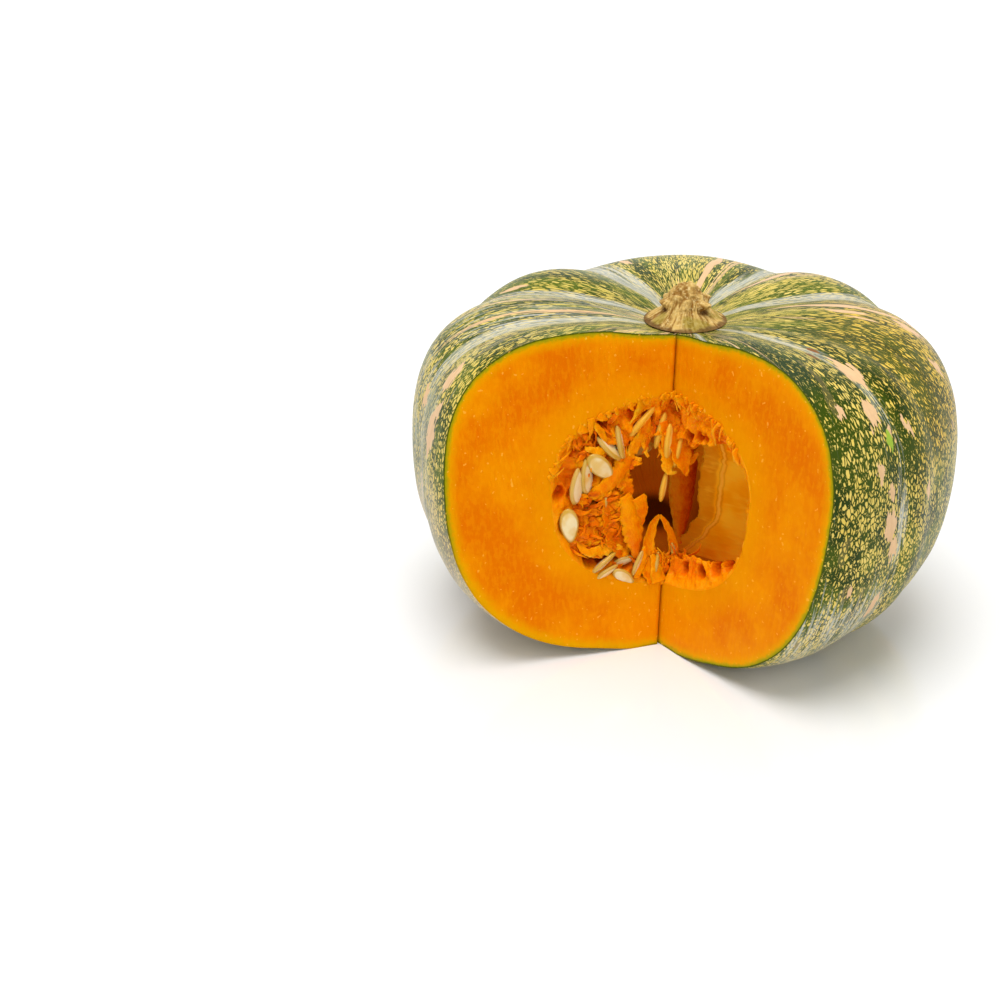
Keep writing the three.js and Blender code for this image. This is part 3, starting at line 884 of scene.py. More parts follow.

# %% [markdown]
# ## Finishes inside the hollow
# Pulp is wet and lets light through: bright orange-yellow on torn edges, red-brown deep in the pits,
# where the red-brown is painted shade. One finish reads the tone that every form carries, so that all the
# pulp belongs together. Seeds are cream, with a yellow margin; the ones that lie wet are a deeper yellow
# and give off a little light of their own, painted light that lifts them out of the shade of the hollow,
# so one function paints both coats.


# %% Pulp and seed finishes
def pulp_finish():
    p = Paint("pulp")
    place = p.place()
    tone = p.attribute("tone")
    thread = p.noise(place, 900.0, 2.0, 0.6)
    level = tone + 0.35 * (thread - 0.5) + 0.3 * (p.noise(place, 160.0, 2.0) - 0.5)
    base = p.mix(p.ramp(level, 0.0, 0.3), colour("5a1400"), colour("bf4600"))
    base = p.mix(p.ramp(level, 0.25, 0.6), base, colour("e87000"))
    base = p.mix(p.ramp(level, 0.55, 0.85), base, colour("f39200"))
    base = p.mix(p.ramp(level, 0.85, 1.15), base, colour("fbb520"))
    return p.surface(
        Base_Color=base,
        Roughness=0.24 + 0.2 * thread,
        Normal=p.bump(thread, 0.0006, 0.5),
        Specular_Tint=WET_TINT,
        Subsurface_Weight=0.3,
        Subsurface_Radius=FLESH_REACH,
        Subsurface_Scale=0.003,
    )


def seed_finish(name, face, stained, margin, tint, glow):
    p = Paint(name)
    place = p.place()
    edge = p.attribute("tone")
    stain = p.noise(place, 130.0, 2.0)
    base = p.mix(p.ramp(stain, 0.42, 0.72), colour(face), colour(stained))
    base = p.mix(0.85 * p.ramp(edge + 0.14 * (stain - 0.5), 0.7, 0.88), base, colour(margin))
    return p.surface(
        Base_Color=base,
        Roughness=0.25,
        Normal=p.bump(p.noise(place, 600.0), 0.0002, 0.4),
        Specular_Tint=tint,
        Emission_Color=base,
        Emission_Strength=glow,
        Subsurface_Weight=0.2,
        Subsurface_Radius=(1.0, 0.6, 0.3),
        Subsurface_Scale=0.002,
    )


pulp = pulp_finish()
seed_coat = seed_finish("seed", "e8d8a6", "deb964", "c29616", (1.0, 0.95, 0.8, 1.0), 0.0)
# the wet seeds give off a little light of their own: painted light that lifts them out of the shade of the hollow
wet_seed_coat = seed_finish("wet_seed", "f2cc5e", "e8a828", "d49a20", (1.0, 0.8, 0.4, 1.0), 0.12)
print("pulp:", len(pulp.node_tree.nodes), "nodes")

# %% [markdown]
# ## The pads that line the cut
# Behind each knife face the pulp is a pad: flush with the flesh at the rim, torn at its inner edge, and
# combed into fibres that run inwards from the rim. The pad is a relief on the face, so the pits round
# the seeds can be pressed in where the seeds sit.


# %% Pads
def pad(side, edge, pits=(), columns=150, rows=46, thick=9.0, shift=0.0):
    """A pad from the rim to a torn edge: the edge is given as pairs of direction and distance."""
    degrees, reach = np.array(edge, float).T
    turns = np.radians(np.linspace(degrees.min(), degrees.max(), columns))
    turn, share = np.meshgrid(turns, np.linspace(0, 1, rows))
    order = np.argsort(degrees)
    inner = np.interp(turns, np.radians(degrees[order]), reach[order])
    arc = np.stack([turns * 30, 0 * turns, 0 * turns + shift], -1)
    inner = inner + 1.6 * lumps(arc, 1.1, 3.0) + 2.2 * lumps(arc, 4.0)
    rim = mouth(side, turns) + 0.6
    distance = rim + (np.minimum(inner, rim - 0.8) - rim) * share
    out, height = distance * np.cos(turn), CAVITY_HEIGHT + distance * np.sin(turn)
    run = (rim - distance).ravel()
    flat = np.stack([(turn * 28).ravel(), run * 0.22, np.full(run.size, shift)], -1)
    combed = lumps(flat, 2.0).reshape(turn.shape)
    spots = np.stack([out.ravel(), height.ravel(), 0 * run + shift], -1)
    fold = lumps(spots, 9.0).reshape(turn.shape)
    crumb = lumps(spots, 2.4, 6.0).reshape(turn.shape)
    wet = smoothstep(run.reshape(turn.shape), 0.6, 6.0)
    depth = 0.25 + wet * (2.6 + 1.9 * combed + 2.6 * fold + 1.1 * crumb)
    for pit_out, pit_height, pit_radius, pit_depth in pits:
        away = np.hypot(out - pit_out, height - pit_height) / pit_radius
        depth += pit_depth * (1 - smoothstep(away, 0.45, 1.05))
    depth = np.maximum(depth, 0.2)
    front = face_point(side, out, height, depth)
    back = face_point(side, out, height, depth + 0.6 + thick * (1 - share**2))
    # painted shade: the deeper the pulp lies behind the knife face, the lower its tone, so the pits come out dark
    tone = 0.92 - 0.085 * depth * wet + 0.2 * combed * wet + 0.1 * share**3
    return shell(front, back, tone)


# torn edges: direction in degrees and distance from the middle of the hollow; pits: out, height, radius, depth
LEFT_EDGE = [(-60, 29), (-45, 27), (-30, 25), (-8, 20), (10, 18.5), (30, 22), (45, 27), (58, 30)]
LEFT_PITS = [
    (50.5, 74, 3.5, 5), (43, 77, 6.5, 2), (37, 80, 6, 2.5), (32, 84, 7, 2), (45.5, 60, 6, 2), (28.5, 67, 4, 6),
    (34, 69, 3, 6), (34, 42.5, 4, 7), (28, 42, 4, 8), (23, 43.5, 4, 8), (33, 99, 5, 3), (27, 92, 4, 5),
]
ROOF_LEFT_EDGE = [(56, 30), (66, 27), (76, 25), (84, 21), (90, 19), (100, 18)]
ROOF_LEFT_PITS = [(23, 98, 4, 3.5), (17, 105, 4, 3), (11, 102, 4, 5), (4, 97, 3.5, 6), (15, 97, 3.5, 5)]
ROOF_RIGHT_EDGE = [(90, 19), (80, 20), (70, 23), (58, 28), (45, 38), (36, 45), (28, 50), (20, 51), (8, 50)]
ROOF_RIGHT_PITS = [(7, 95, 3.5, 7), (14, 97, 3, 6), (19, 98, 2.5, 5), (27, 98, 3, 4), (3, 90, 3, 5)]
FLOOR_LEFT_EDGE = [(-98, 31), (-90, 31), (-80, 30), (-70, 31), (-57, 29)]
FLOOR_LEFT_PITS = [(17.5, 39, 4, 7), (10, 36, 4, 6), (24, 36, 4, 5), (3, 32, 3, 6)]
FLOOR_RIGHT_EDGE = [
    (-90, 31), (-75, 29.5), (-60, 29.5), (-47, 33), (-36, 39), (-28, 46), (-15, 49), (0, 50), (12, 50),
]
FLOOR_RIGHT_PITS = [(21, 40.5, 3.5, 8), (30.5, 45, 3.5, 8), (37.5, 48.5, 3, 7), (9, 37, 3, 5)]
left_forms = [pad("left", LEFT_EDGE, LEFT_PITS, columns=260, rows=110, thick=16)]
roof_forms = [pad("left", ROOF_LEFT_EDGE, ROOF_LEFT_PITS, shift=20.0, columns=110, rows=60)]
roof_forms.append(pad("right", ROOF_RIGHT_EDGE, ROOF_RIGHT_PITS, shift=40.0, columns=200, rows=60, thick=4))
floor_forms = [pad("left", FLOOR_LEFT_EDGE, FLOOR_LEFT_PITS, shift=60.0, columns=90)]
floor_forms.append(pad("right", FLOOR_RIGHT_EDGE, FLOOR_RIGHT_PITS, shift=80.0, columns=220, thick=4))
print("pads:", len(left_forms) + len(roof_forms) + len(floor_forms))

# %% [markdown]
# ## Flaps and fibres
# The knife dragged the pulp: one big sheet folded over in the middle of the hollow, a band that still
# holds to the roof, and strands that hang from it or stand on the floor. A hair system would make even
# strands; torn pulp is flat and ragged, so each piece of it is a torn strip. The large ones have places
# of their own. The many small ones get theirs by seeded draws, which come out the same on every run.


# %% Strips on the knife faces
def face_strip(path, widths, side="left", **more):
    """A strip along places on a knife face: out, height and depth."""
    return strip([face_point(side, *place) for place in path], widths, (1, 0.1, 0.25), **more)


def torn_bits(count, outs, heights, drift, lengths, widths, depths):
    """Many small strips at random places on the left knife face."""
    bits = []
    for _ in range(count):
        out, height, depth = chance.uniform(*outs), chance.uniform(*heights), chance.uniform(*depths)
        turn = math.radians(drift + chance.normal(0, 40))
        step = chance.uniform(*lengths) * np.array((math.cos(turn), math.sin(turn)))
        bend = chance.normal(0, 1.2, 2)
        path = [
            (out, height, depth + 2.5),
            (out + step[0] / 2 + bend[0], height + step[1] / 2 + bend[1], depth),
            (out + step[0], height + step[1], depth + 1.0),
        ]
        width = chance.uniform(*widths)
        tones = (0.35, chance.uniform(0.45, 1.05))
        curl = chance.normal(0, 0.3)
        bits.append(face_strip(path, [0.8 * width, width, 0.3], tones=tones, jag=0.4, curl=curl, shape=(16, 6)))
    return bits


def fringe(side, first, last, count, lengths, tone):
    """Torn ends that hang inwards from the rim of the hollow, between two directions in degrees."""
    ends = []
    for turn in np.radians(np.linspace(first, last, count) + chance.normal(0, 3.0, count)):
        rim = mouth(side, np.array([turn]))[0] + chance.uniform(0.2, 1.4)
        length, lean = chance.uniform(*lengths), chance.normal(0, 0.1)
        steps = ((rim, 0, -0.2), (rim - 0.5 * length, 0.4 * lean, 0.3), (rim - length, lean, 2.0))
        path = [
            (distance * math.cos(turn + bend), CAVITY_HEIGHT + distance * math.sin(turn + bend), depth)
            for distance, bend, depth in steps
        ]
        width = chance.uniform(0.8, 5.0)
        tones = (tone, tone + chance.uniform(-0.1, 0.3))
        ends.append(face_strip(path, [width, 0.8 * width, 0.3], side=side, tones=tones, jag=0.4, shape=(16, 6)))
    return ends


print("a torn end hangs from the rim,", round(float(mouth("right", np.array([1.0]))[0]), 1), "mm from the middle")

# %% [markdown]
# ## Flaps on the left
# The big sheet folded over in the middle of the hollow is two broad strips that lie across each other,
# which shows its fold without a cloth to simulate. Smaller flaps hold the seeds, and torn bits fill the
# rest, most of them drawn towards the knife line as the blade left them.

# %% Flaps and bits on the left
left_forms += [
    face_strip(
        [(29, 73, 2.5), (24, 61, 2), (20, 50, 3), (14, 39, 5)],
        [6, 15, 16, 6], tones=(0.6, 0.5), curl=0.25, shape=(40, 16),
    ),
    face_strip(
        [(20.5, 70, 0.3), (17, 60, -0.6), (15, 50, -0.4), (12.5, 40, 2)],
        [6, 11, 9, 2], tones=(0.78, 0.62), curl=-0.4, shape=(40, 14),
    ),
    face_strip([(14, 68, 1), (12, 61, 1), (12, 54, 2)], [8, 6, 2], tones=(0.75, 0.45)),
    face_strip(
        [(36, 71, 2), (29, 75, 0.3), (22, 82, 0.6), (19, 88, 3)],
        [4, 7, 9, 6], tones=(0.75, 0.6), curl=-0.25, shape=(40, 12),
    ),
    face_strip([(24, 79, 1), (20, 74, 1.5), (18, 68, 3)], [7, 9, 3], tones=(0.7, 0.5), jag=0.5, shape=(40, 12)),
    face_strip([(38, 104, 0.5), (33, 99, 0.4), (29, 91, 2)], [2, 3.5, 1.2], tones=(0.95, 0.75)),
    face_strip([(40, 93, 0.5), (34, 91, 0.3), (28, 90, 1.5)], [1.5, 4, 1], tones=(0.9, 0.7)),
    face_strip([(41, 52, 1), (35, 47, 0.3), (27, 47, 1), (20, 46, 2)], [2, 5, 5, 2], tones=(0.75, 0.95), jag=0.5),
]
left_forms += torn_bits(70, (26, 46), (46, 72), 180, (4, 10), (0.8, 3.4), (0.0, 2.0))
left_forms += torn_bits(40, (24, 46), (84, 102), 235, (4, 10), (0.8, 3.0), (0.0, 2.0))
left_forms += torn_bits(26, (18, 30), (62, 86), 200, (4, 9), (0.8, 3.0), (0.5, 3.0))
print("forms on the left:", len(left_forms))

# %% [markdown]
# ## Roof, floor and torn ends
# Strands hang from the roof and stand on the floor, so their bits are drawn downwards above and upwards
# below. Last, short torn ends are set along the rim, to break the clean line where the flesh stops and
# the pulp begins. A rough edge painted on the flesh would stay flat there.

# %% Roof, floor and torn ends
roof_forms += [
    face_strip([(12, 103, 2), (13.5, 95, 1.5), (18, 88, 2), (13, 84, 2)], [3, 5, 5, 1.5], tones=(0.6, 1.0)),
    face_strip([(9, 98, 2), (12, 91, 1.5), (10, 85, 1.5)], [2.5, 3.5, 1], tones=(0.65, 1.0), jag=0.5),
    face_strip(
        [(0, 97, 1), (-3, 89, 0), (-5, 82, -1), (-7.5, 75.5, -1)],
        [10, 10, 8, 1], tones=(0.55, 0.75), curl=0.2, shape=(40, 12),
    ),
    face_strip([(3, 90, 2), (1.5, 83, 0.5), (0.5, 78, 0), (-3, 77, 0)], [4, 6, 4, 1], tones=(0.7, 1.05), jag=0.4),
    face_strip([(-4, 84, 1), (-9, 81, 1), (-13, 84, 2)], [4, 4.5, 2], tones=(0.75, 0.95)),
    face_strip([(4, 100, 1), (3, 94, 0.5), (4, 88, 1)], [4, 5, 1.5], tones=(0.55, 0.7)),
]
roof_forms += torn_bits(46, (-12, 27), (91, 105), 270, (4, 11), (0.8, 3.2), (0.5, 3.5))
floor_forms += [
    face_strip(
        [(4, 30, 0.5), (7.5, 40, 3), (5, 50, 6), (1, 56, 6)],
        [8, 7, 4.5, 1.5], tones=(0.7, 0.75), curl=0.3, shape=(40, 12),
    ),
    face_strip([(-3, 31, 2), (-5.5, 41, 5), (-3, 50, 6), (1, 56, 6)], [7, 5, 3, 1.2], tones=(0.65, 0.7), curl=0.3),
    face_strip([(2, 29, 0), (3.5, 35, 0.5), (5.5, 41, 2)], [8, 6, 2], tones=(0.75, 0.85)),
    face_strip([(13, 32, 0), (11, 39, 0.5), (9, 45, 2)], [3, 5, 1.5], tones=(0.75, 0.9), thickness=1.2),
]
floor_forms += torn_bits(46, (-10, 14), (28, 36), 90, (4, 11), (0.8, 3.0), (0.5, 3.5))
roof_forms += fringe("right", 34, 88, 22, (2, 11), 0.78) + fringe("left", 58, 92, 12, (2, 9), 0.78)
left_forms += fringe("left", 8, 58, 14, (2, 7), 0.8)
print("forms on the roof:", len(roof_forms), "and on the floor:", len(floor_forms))

# %% [markdown]
# ## Seeds
# The large seeds lie almost flat in the left knife face. Those on the roof and the floor are seen edge on
# in their pits. Every seed is placed by its middle, by how far its tip leans from upright, and by how far
# it is rolled about its own length. Scattering them by physics would be quicker, but each of these seeds is
# plain to see in its own place.


# %% Seeds
def face_seed(out, height, depth, lean, roll=0.0, size=1.0):
    """A seed at a place on the left knife face; its tip leans towards the knife line."""
    lean, roll = math.radians(lean), math.radians(roll)
    back = -np.array((0.0, math.sin(lean), math.cos(lean)))
    beside = np.array((0.0, math.cos(lean), -math.sin(lean)))
    facing = math.cos(roll) * np.array((1.0, 0.0, 0.0)) + math.sin(roll) * beside
    tip = face_point("left", out, height, depth) - 0.5 * size * SEED_LENGTH * back
    return seed(tip, back, facing, size)


# seeds: out, height, depth, lean, roll, size
LEFT_SEEDS = [
    (43, 76.8, 0.6, 3, 35), (37.9, 79.6, 2.6, -4, 40), (32, 83.4, 1.0, 137, 10), (45.3, 59.6, 0.8, 174, 15, 0.98),
    (28.4, 66.6, 3.5, 5, 75, 0.75), (35, 68.5, 5, 20, 60, 0.7), (28, 91, 2.5, -47, 62), (23.2, 92.5, 2.5, -12, 68),
]
ROOF_SEEDS = [
    (13.5, 100, 3, 42, 55), (1, 90.5, 1.5, 2, 52), (-3.5, 85.5, 1.5, 12, 65, 0.85), (4.2, 95, 4, 14, 60),
    (1.8, 70.2, 2.5, 9, 58, 0.8),
]
FLOOR_SEEDS = [
    (28.4, 40.4, 1.5, 52, 55, 0.85), (26.8, 36.4, 0.8, 60, 40, 0.7), (19, 33.6, 0.2, 128, 20, 0.72),
    (17.5, 39, 4, 80, 30, 0.7), (12.5, 38.2, 1.0, 20, 50, 0.75), (3, 35, 3, 10, 70, 0.8), (-6, 38, 4, -12, 65, 0.75),
]
gather("seeds_left", [face_seed(*values) for values in LEFT_SEEDS], seed_coat, "pulp_left")
gather("seeds_roof", [face_seed(*values) for values in ROOF_SEEDS], wet_seed_coat, "pulp_roof")
gather("seeds_floor", [face_seed(*values) for values in FLOOR_SEEDS], seed_coat, "pulp_floor")
gather("pulp_left_clump", left_forms, pulp, "pulp_left")
gather("pulp_roof_clump", roof_forms, pulp, "pulp_roof")
gather("pulp_floor_clump", floor_forms, pulp, "pulp_floor")

# %% [markdown]
# ## The back of the hollow
# Behind the clump the wall carries more pulp with rows of seeds. It is seen only in the half dark of the
# hollow, and from the side, so one swollen pad is enough, with the seeds set in rows as they grow.

# %% Back clump
PULP_GAP = 1.1
BACK_AZIMUTH, BACK_HALF_WIDTH, BACK_HALF_HEIGHT, BACK_DEPTH = 196, 30, 48, 12


def back_place(across, up, inset):
    azimuth = np.radians(BACK_AZIMUTH + BACK_HALF_WIDTH * across)
    return cavity_point(azimuth, np.radians(BACK_HALF_HEIGHT * up), inset)


def back_clump():
    angle, share = np.meshgrid(around(90), np.linspace(0, math.pi, 60))
    across, up = np.cos(angle) * np.sin(share), np.sin(angle) * np.sin(share)
    inside = np.maximum(-np.cos(share), 0) ** 0.6
    fibres = lumps(np.stack([across.ravel() * 16, up.ravel() * 3, 0 * up.ravel()], -1), 1.0).reshape(up.shape)
    points, faces = closed_grid(back_place(across, up, PULP_GAP + BACK_DEPTH * inside * (1 + 0.4 * fibres)))
    tone = (0.55 + 0.35 * fibres)[1:-1].ravel()
    return points, faces, np.concatenate([[0.5], tone, [0.5]])


def back_seeds():
    forms = []
    for across in (-0.6, -0.2, 0.2, 0.6):
        for up in (-0.6, -0.2, 0.2, 0.6):
            tip = back_place(across + chance.normal(0, 0.05), up + chance.normal(0, 0.05), 9.0)
            inwards = unit(np.array((0, 0, CAVITY_HEIGHT)) - tip) + chance.normal(0, 0.25, 3)
            forms.append(seed(tip, inwards, chance.normal(0, 1, 3), 0.9))
    return forms


gather("pulp_back_clump", [back_clump()], pulp, "pulp_back")
gather("seeds_back", back_seeds(), wet_seed_coat, "pulp_back")

# %% [markdown]
# ## The membranes
# Thin sheets stand off the wall with torn free edges: what is left of the walls between the seed rows.
# Cloth could hang there too, but these are stiff, and they follow a meridian of the hollow. So each one is
# a grid along that meridian, with raised veins and two sides.


# %% Membranes
def sheet(azimuth, high, reach, turn, veins, fall=0.5, rows=130, columns=60):
    """A thin sheet along a meridian of the wall, with a torn free edge and raised veins."""
    share, level = np.meshgrid(np.linspace(0, 1, columns), np.linspace(0.01, 0.99, rows))
    latitude = np.radians(blend(-high, high, level))
    taper = np.sin(level * np.pi) ** fall
    tear = np.stack([level[:, 0] * 2 * high, 0 * level[:, 0], 0 * level[:, 0] + azimuth], -1)
    torn = 1 + 0.025 * lumps(tear, 2.0) + 0.02 * lumps(tear, 0.9, 5.0) + 0.04 * lumps(tear, 12.0)
    stand = reach * share * (1 + (torn[:, None] - 1) * share) * taper
    lean = np.radians(azimuth + turn * share)
    wave = 1.1 * lumps(np.stack([share.ravel() * 3, level.ravel() * 5, 0 * share.ravel() + azimuth], -1), 1.0)
    raised = sum(np.exp(-(((share - place - 0.02 * np.sin(9 * level)) / 0.022) ** 2)) for place in veins)
    half = 0.6 * taper + 0.4 * raised
    normal = np.stack([np.sin(lean), -np.cos(lean), 0 * lean], -1)
    middle = cavity_point(np.full(share.shape, math.radians(azimuth)), latitude, PULP_GAP)
    middle -= np.stack([stand * np.cos(lean), stand * np.sin(lean), 0 * stand], -1)
    middle += normal * (wave.reshape(share.shape) * taper * share)[..., None]
    # painted shade: past the last vein the tone drops, so the finish darkens the part of the sheet that lies in
    # shade
    shaded_part = smoothstep(share, veins[-1] + 0.01, veins[-1] + 0.05)
    return shell(middle + normal * half[..., None], middle - normal * half[..., None], raised - 0.5 * shaded_part)


def membrane_finish():
    p = Paint("membrane")
    place = p.place()
    vein = p.attribute("tone")
    x, y, z = p.axes(place)
    fibres = p.noise(p.vector(x, y, z * 4.0), 130.0, 2.0)
    patches = p.noise(place, 70.0, 2.0)
    base = p.mix(p.ramp(patches, 0.35, 0.65), colour("f09a00"), colour("fab41c"))
    # painted shade: a tone below zero, on the part of a sheet past its last vein, darkens it
    base = p.mix(0.5 * (1 - p.ramp(vein, -0.5, 0.0)), base, colour("c06604"))
    base = p.mix(0.35 * p.ramp(fibres, 0.5, 0.75), base, colour("ffc430"))
    base = p.mix(0.35 * p.ramp(vein, 0.1, 0.4), base, colour("b45c00"))
    base = p.mix(0.7 * p.ramp(vein, 0.5, 0.9), base, colour("ffb838"))
    return p.surface(
        Base_Color=base,
        Roughness=0.5,
        Normal=p.bump(fibres + 2 * patches, 0.0008, 0.5),
        Specular_IOR_Level=0.15,
        Specular_Tint=WET_TINT,
        Emission_Color=base,
        Emission_Strength=GLOW,
        Subsurface_Weight=0.3,
        Subsurface_Radius=(1.0, 0.4, 0.1),
        Subsurface_Scale=0.004,
    )


membrane = membrane_finish()
gather("sheet_right", [sheet(28, 67, 57, 6, (0.83,), fall=0.16)], membrane, "pulp_curtain_right")
deep_path = [(-19, 90, 26), (-18.5, 70, 25), (-18, 52, 24), (-16.5, 34, 22)]
# painted shade: the deep sheet grows darker towards its right, where it turns away behind the right sheet
deep_sheet = face_strip(
    deep_path, [15, 15, 12, 3], tones=(0.55, 0.65), fade=-0.32, curl=-0.35, thickness=1.0, jag=0.07, shape=(70, 24)
)
gather("sheet_back", [sheet(64, 50, 65, -2, (0.55, 0.8))], membrane, "pulp_curtain_back")
gather("sheet_deep", [deep_sheet], pulp, "pulp_curtain_back")

# %% [markdown]
# ## The stem stub
# A corky bell, pulled in at the waist, with knuckles where the stalk's ridges were cut off. A turned
# profile would be too even, so the profile is pushed out at each knuckle and grooved by fibres that run
# up it.

# %% Stem
STEM_FLANGE_RADIUS, STEM_NECK_RADIUS, STEM_RISE, STEM_GAP = 18, 9.4, 16.6, 0.5
# knuckles: degrees from +X, and how far each one stands out in millimetres
KNUCKLES = [(-96, 3.2), (30, 3.8), (98, 3.0), (168, 3.2), (-150, 2.6)]


def stem_grid(azimuth, share):
    """The stem from the middle of its underside (0) over the flange (0.25) to its top (1)."""
    under = 0.25
    climb = np.maximum((share - under) / (1 - under), 0)
    flare = (1 - np.minimum(climb / 0.48, 1)) ** 1.5
    top = np.clip((climb - 0.45) / 0.55, 0, 1) ** 0.65
    radius = blend(STEM_NECK_RADIUS, STEM_FLANGE_RADIUS, flare) * np.sqrt(np.maximum(1 - top**2, 0))
    knuckle, pit = 0 * azimuth, 0 * azimuth
    for degrees, size in KNUCKLES:
        off = np.abs((azimuth - math.radians(degrees) + math.pi) % (2 * math.pi) - math.pi)
        knuckle = np.maximum(knuckle, size * np.exp(-((off / 0.28) ** 2) - ((climb - 0.52) / 0.09) ** 2))
        pit = np.maximum(pit, np.exp(-((off / 0.34) ** 2) - ((climb - 0.36) / 0.07) ** 2))
    ray_x, ray_y = np.cos(azimuth), np.sin(azimuth)
    sample = np.stack([ray_x * 14, ray_y * 14, climb * 5], -1).reshape(-1, 3)
    fibres = (lumps(sample, 0.8) + 0.7 * lumps(sample, 3.5, 2.0)).reshape(azimuth.shape)
    crust = np.stack([ray_x * radius, ray_y * radius, climb * 24], -1).reshape(-1, 3)
    rough = (lumps(crust, 3.2, 8.0) + 0.6 * lumps(crust, 1.4, 3.0)).reshape(azimuth.shape)
    outer = smoothstep(climb, 0.0, 0.06) * np.minimum(radius / 6, 1)
    groove = fibres * (1 - smoothstep(climb, 0.5, 0.75)) + 0.7 * rough * smoothstep(climb, 0.5, 0.75)
    radius = radius + knuckle - 1.6 * pit + outer * (0.7 * groove + 0.3 * rough)
    radius = np.where(share < under, STEM_FLANGE_RADIUS * share / under, np.maximum(radius, 0))
    radius[-1] = 0
    height = np.where(share < under, dip_height(radius), dip_height(STEM_FLANGE_RADIUS) + STEM_RISE * climb**1.15)
    height = height + 0.9 * rough * smoothstep(climb, 0.55, 0.8) + 0.3 * knuckle
    return np.stack([radius * ray_x, radius * ray_y, height + STEM_GAP - FOOT_SINK], -1), groove, climb, pit


print("stem:", 2 * STEM_FLANGE_RADIUS, "mm across its foot and", STEM_RISE, "mm high")

# %% [markdown]
# ## The stem's cork
# Dry cork is matt: straw on the ridges, brown in the grooves, olive low down where it is still alive. The
# grid already knows its grooves and pits, so it stores them, and the finish only has to colour them; the
# pits are darkened as painted shade.


# %% Stem finish
def stem_finish():
    p = Paint("cork")
    place = p.place()
    groove, climb, pit = p.attribute("groove"), p.attribute("climb"), p.attribute("pit")
    grain = p.noise(place, 700.0, 3.0, 0.65)
    spots = p.noise(place, 230.0, 2.0)
    base = p.mix(p.ramp(groove + 0.8 * (grain - 0.5), -0.5, 0.5), colour("8f6526"), colour("cfab62"))
    base = p.mix(0.7 * p.ramp(grain, 0.5, 0.75), base, colour("e4cd92"))
    olive = p.ramp(p.noise(place, 90.0, 1.0), 0.54, 0.66) * (1 - p.ramp(climb, 0.3, 0.6))
    base = p.mix(0.55 * olive, base, colour("857a1c"))
    # painted shade: the pits round the knuckles are darkened in the colour
    base = p.mix(0.8 * p.ramp(pit + 0.9 * (spots - 0.5), 0.3, 0.8), base, colour("5e3810"))
    base = p.mix(0.8 * (1 - p.ramp(climb + 0.2 * (spots - 0.5), 0.03, 0.12)), base, colour("573612"))
    return p.surface(
        Base_Color=base,
        Roughness=0.8,
        Normal=p.bump(grain + 0.5 * spots, 0.0008, 0.6),
        Specular_IOR_Level=0.2,
    )


def stem():
    azimuth, share = np.meshgrid(around(220), np.linspace(0, 1, 150))
    grid, groove, climb, pit = stem_grid(azimuth, share)
    points, faces = closed_grid(grid)
    piece = new_piece("stem_stub", points, faces, stem_finish())
    for name, values in (("groove", groove), ("climb", climb), ("pit", pit)):
        flat = np.concatenate([values[0, :1], values[1:-1].ravel(), values[-1, :1]])
        piece.data.attributes.new(name, "FLOAT", "POINT").data.foreach_set("value", flat)
    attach(piece, "root")
    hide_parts("stem")
    print("stem_stub", len(faces), "faces")


stem()

# %% [markdown]
# ## The table and the camera
# A plain white table, glossy enough to mirror the fruit a little. A cove would hide the horizon, but a
# table that runs on far enough is white up to the edge of the picture. The camera stands where the
# photographer stood: about 0.9 m away, 23 degrees above the table, with a long lens.

# %% Table and camera
TABLE_HALF, SENSOR_WIDTH = 40000, 36
CAMERA_PLACE = Vector((759.3, -339.4, 428.3)) * MM
CAMERA_RIGHT = Vector((0.3183, 0.9480, 0.0)).normalized()
CAMERA_FORWARD = Vector((-0.8617, 0.2894, -0.4168)).normalized()
CAMERA_LENS, CAMERA_LIFT = 72.8, 0.005


def floor_finish():
    p = Paint("table")
    cloud = p.noise(p.place(), 3.0, 2.0)
    base = p.mix(cloud, colour("f4f4f4"), colour("f8f8f8"))
    return p.surface(Base_Color=base, Roughness=0.1, IOR=1.65, Specular_IOR_Level=1.0)


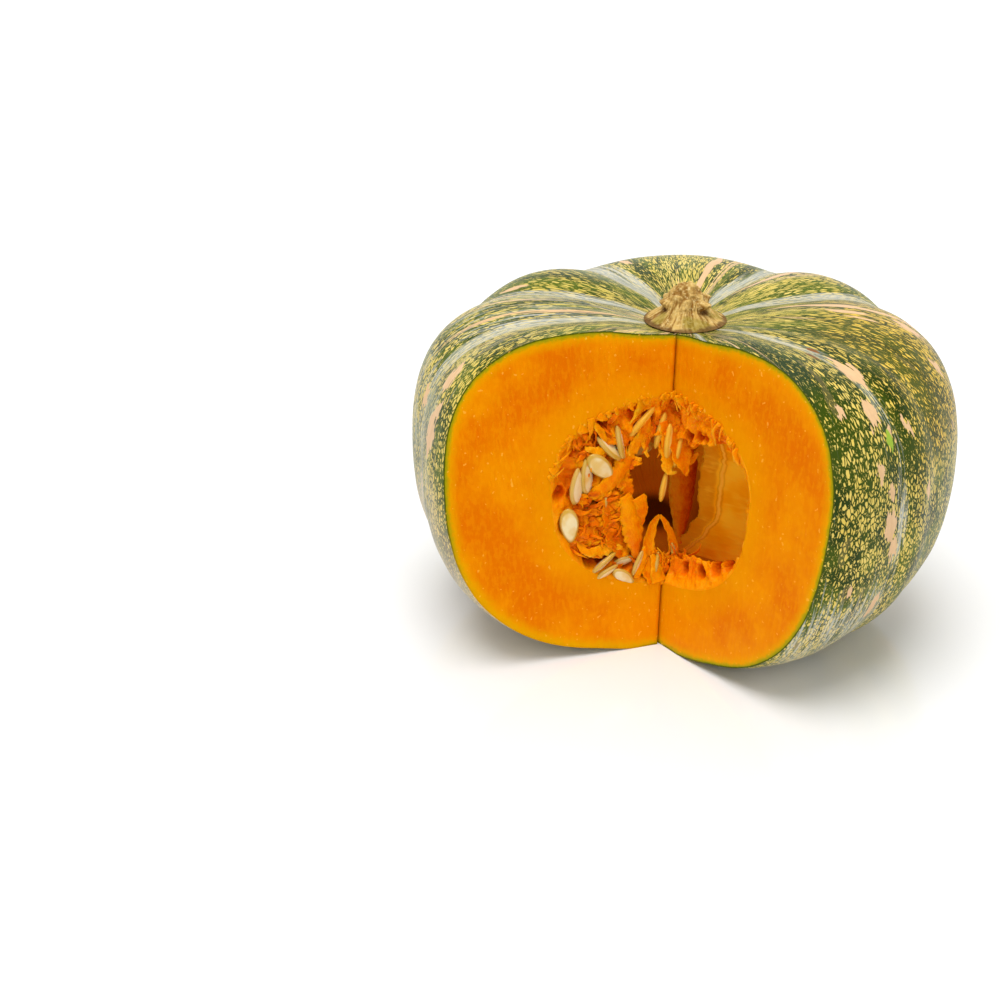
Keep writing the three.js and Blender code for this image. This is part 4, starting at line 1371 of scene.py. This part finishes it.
def stage():
    half = TABLE_HALF
    corners = [(-half, -half, 0), (half, -half, 0), (half, half, 0), (-half, half, 0)]
    floor = new_piece("table", corners, [(0, 1, 2, 3)], floor_finish())
    scene = bpy.context.scene
    camera = bpy.data.objects.new("camera", bpy.data.cameras.new("camera"))
    camera.data.lens, camera.data.sensor_width, camera.data.shift_y = CAMERA_LENS, SENSOR_WIDTH, CAMERA_LIFT
    up = CAMERA_RIGHT.cross(CAMERA_FORWARD)
    axes = Matrix((CAMERA_RIGHT, up, -CAMERA_FORWARD)).transposed()
    camera.matrix_world = Matrix.Translation(CAMERA_PLACE) @ axes.to_4x4()
    scene.collection.objects.link(camera)
    scene.camera = camera


stage()
print("camera", round((CAMERA_PLACE - Vector((0, 0, 0.075))).length, 3), "m from the fruit")

# %% [markdown]
# ## The light
# A bright white room, with most of its light from the ceiling on the left. A picture of a room could light
# it, but a few plain lamps are easier to read and to move: one wide lamp for the ceiling, three soft ones
# for the windows and the walls, and a world that is white low down and dimmer above.

# %% Light
LIT_PLACE = Vector((0, 0, 0.06))


def soft_light(name, place, size, power):
    light = bpy.data.objects.new(name, bpy.data.lights.new(name, "AREA"))
    light.data.energy, light.data.size = power, size
    light.location = place
    aim = LIT_PLACE - Vector(place)
    light.rotation_euler = aim.to_track_quat("-Z", "Y").to_euler()
    bpy.context.scene.collection.objects.link(light)


def ceiling_light(azimuth, elevation, power, spread):
    """Even light from one side of the ceiling."""
    light = bpy.data.objects.new("ceiling", bpy.data.lights.new("ceiling", "SUN"))
    light.data.energy, light.data.angle = power, math.radians(spread)
    turn, lift = math.radians(azimuth), math.radians(elevation)
    aim = -Vector((math.cos(lift) * math.cos(turn), math.cos(lift) * math.sin(turn), math.sin(lift)))
    light.rotation_euler = aim.to_track_quat("-Z", "Y").to_euler()
    bpy.context.scene.collection.objects.link(light)


def room_light():
    """A white room: bright walls low down, a dimmer ceiling."""
    world = bpy.data.worlds.new("room")
    bpy.context.scene.world = world
    p = Paint("room", world)
    climb = p.part(p.node("TexCoord", out="Generated"), 2)
    tone = p.mix(p.ramp(climb, 0.22, 0.6), (1.0, 1.0, 1.0, 1.0), (0.34, 0.34, 0.34, 1.0))
    p.node("OutputWorld", None, {"Surface": p.node("Background", None, {"Color": tone})})


ceiling_light(-56, 79, 2.1, 42)
soft_light("left_window", (0.2, -0.9, 1.8), 0.8, 3.5)
soft_light("front_fill", (1.5, 0.2, 1.1), 1.0, 5)
soft_light("top_back", (-0.7, 0.5, 1.5), 1.2, 8)
room_light()
bpy.context.scene.view_settings.view_transform = "Standard"
print("lamps:", [lamp.name for lamp in bpy.data.lights])
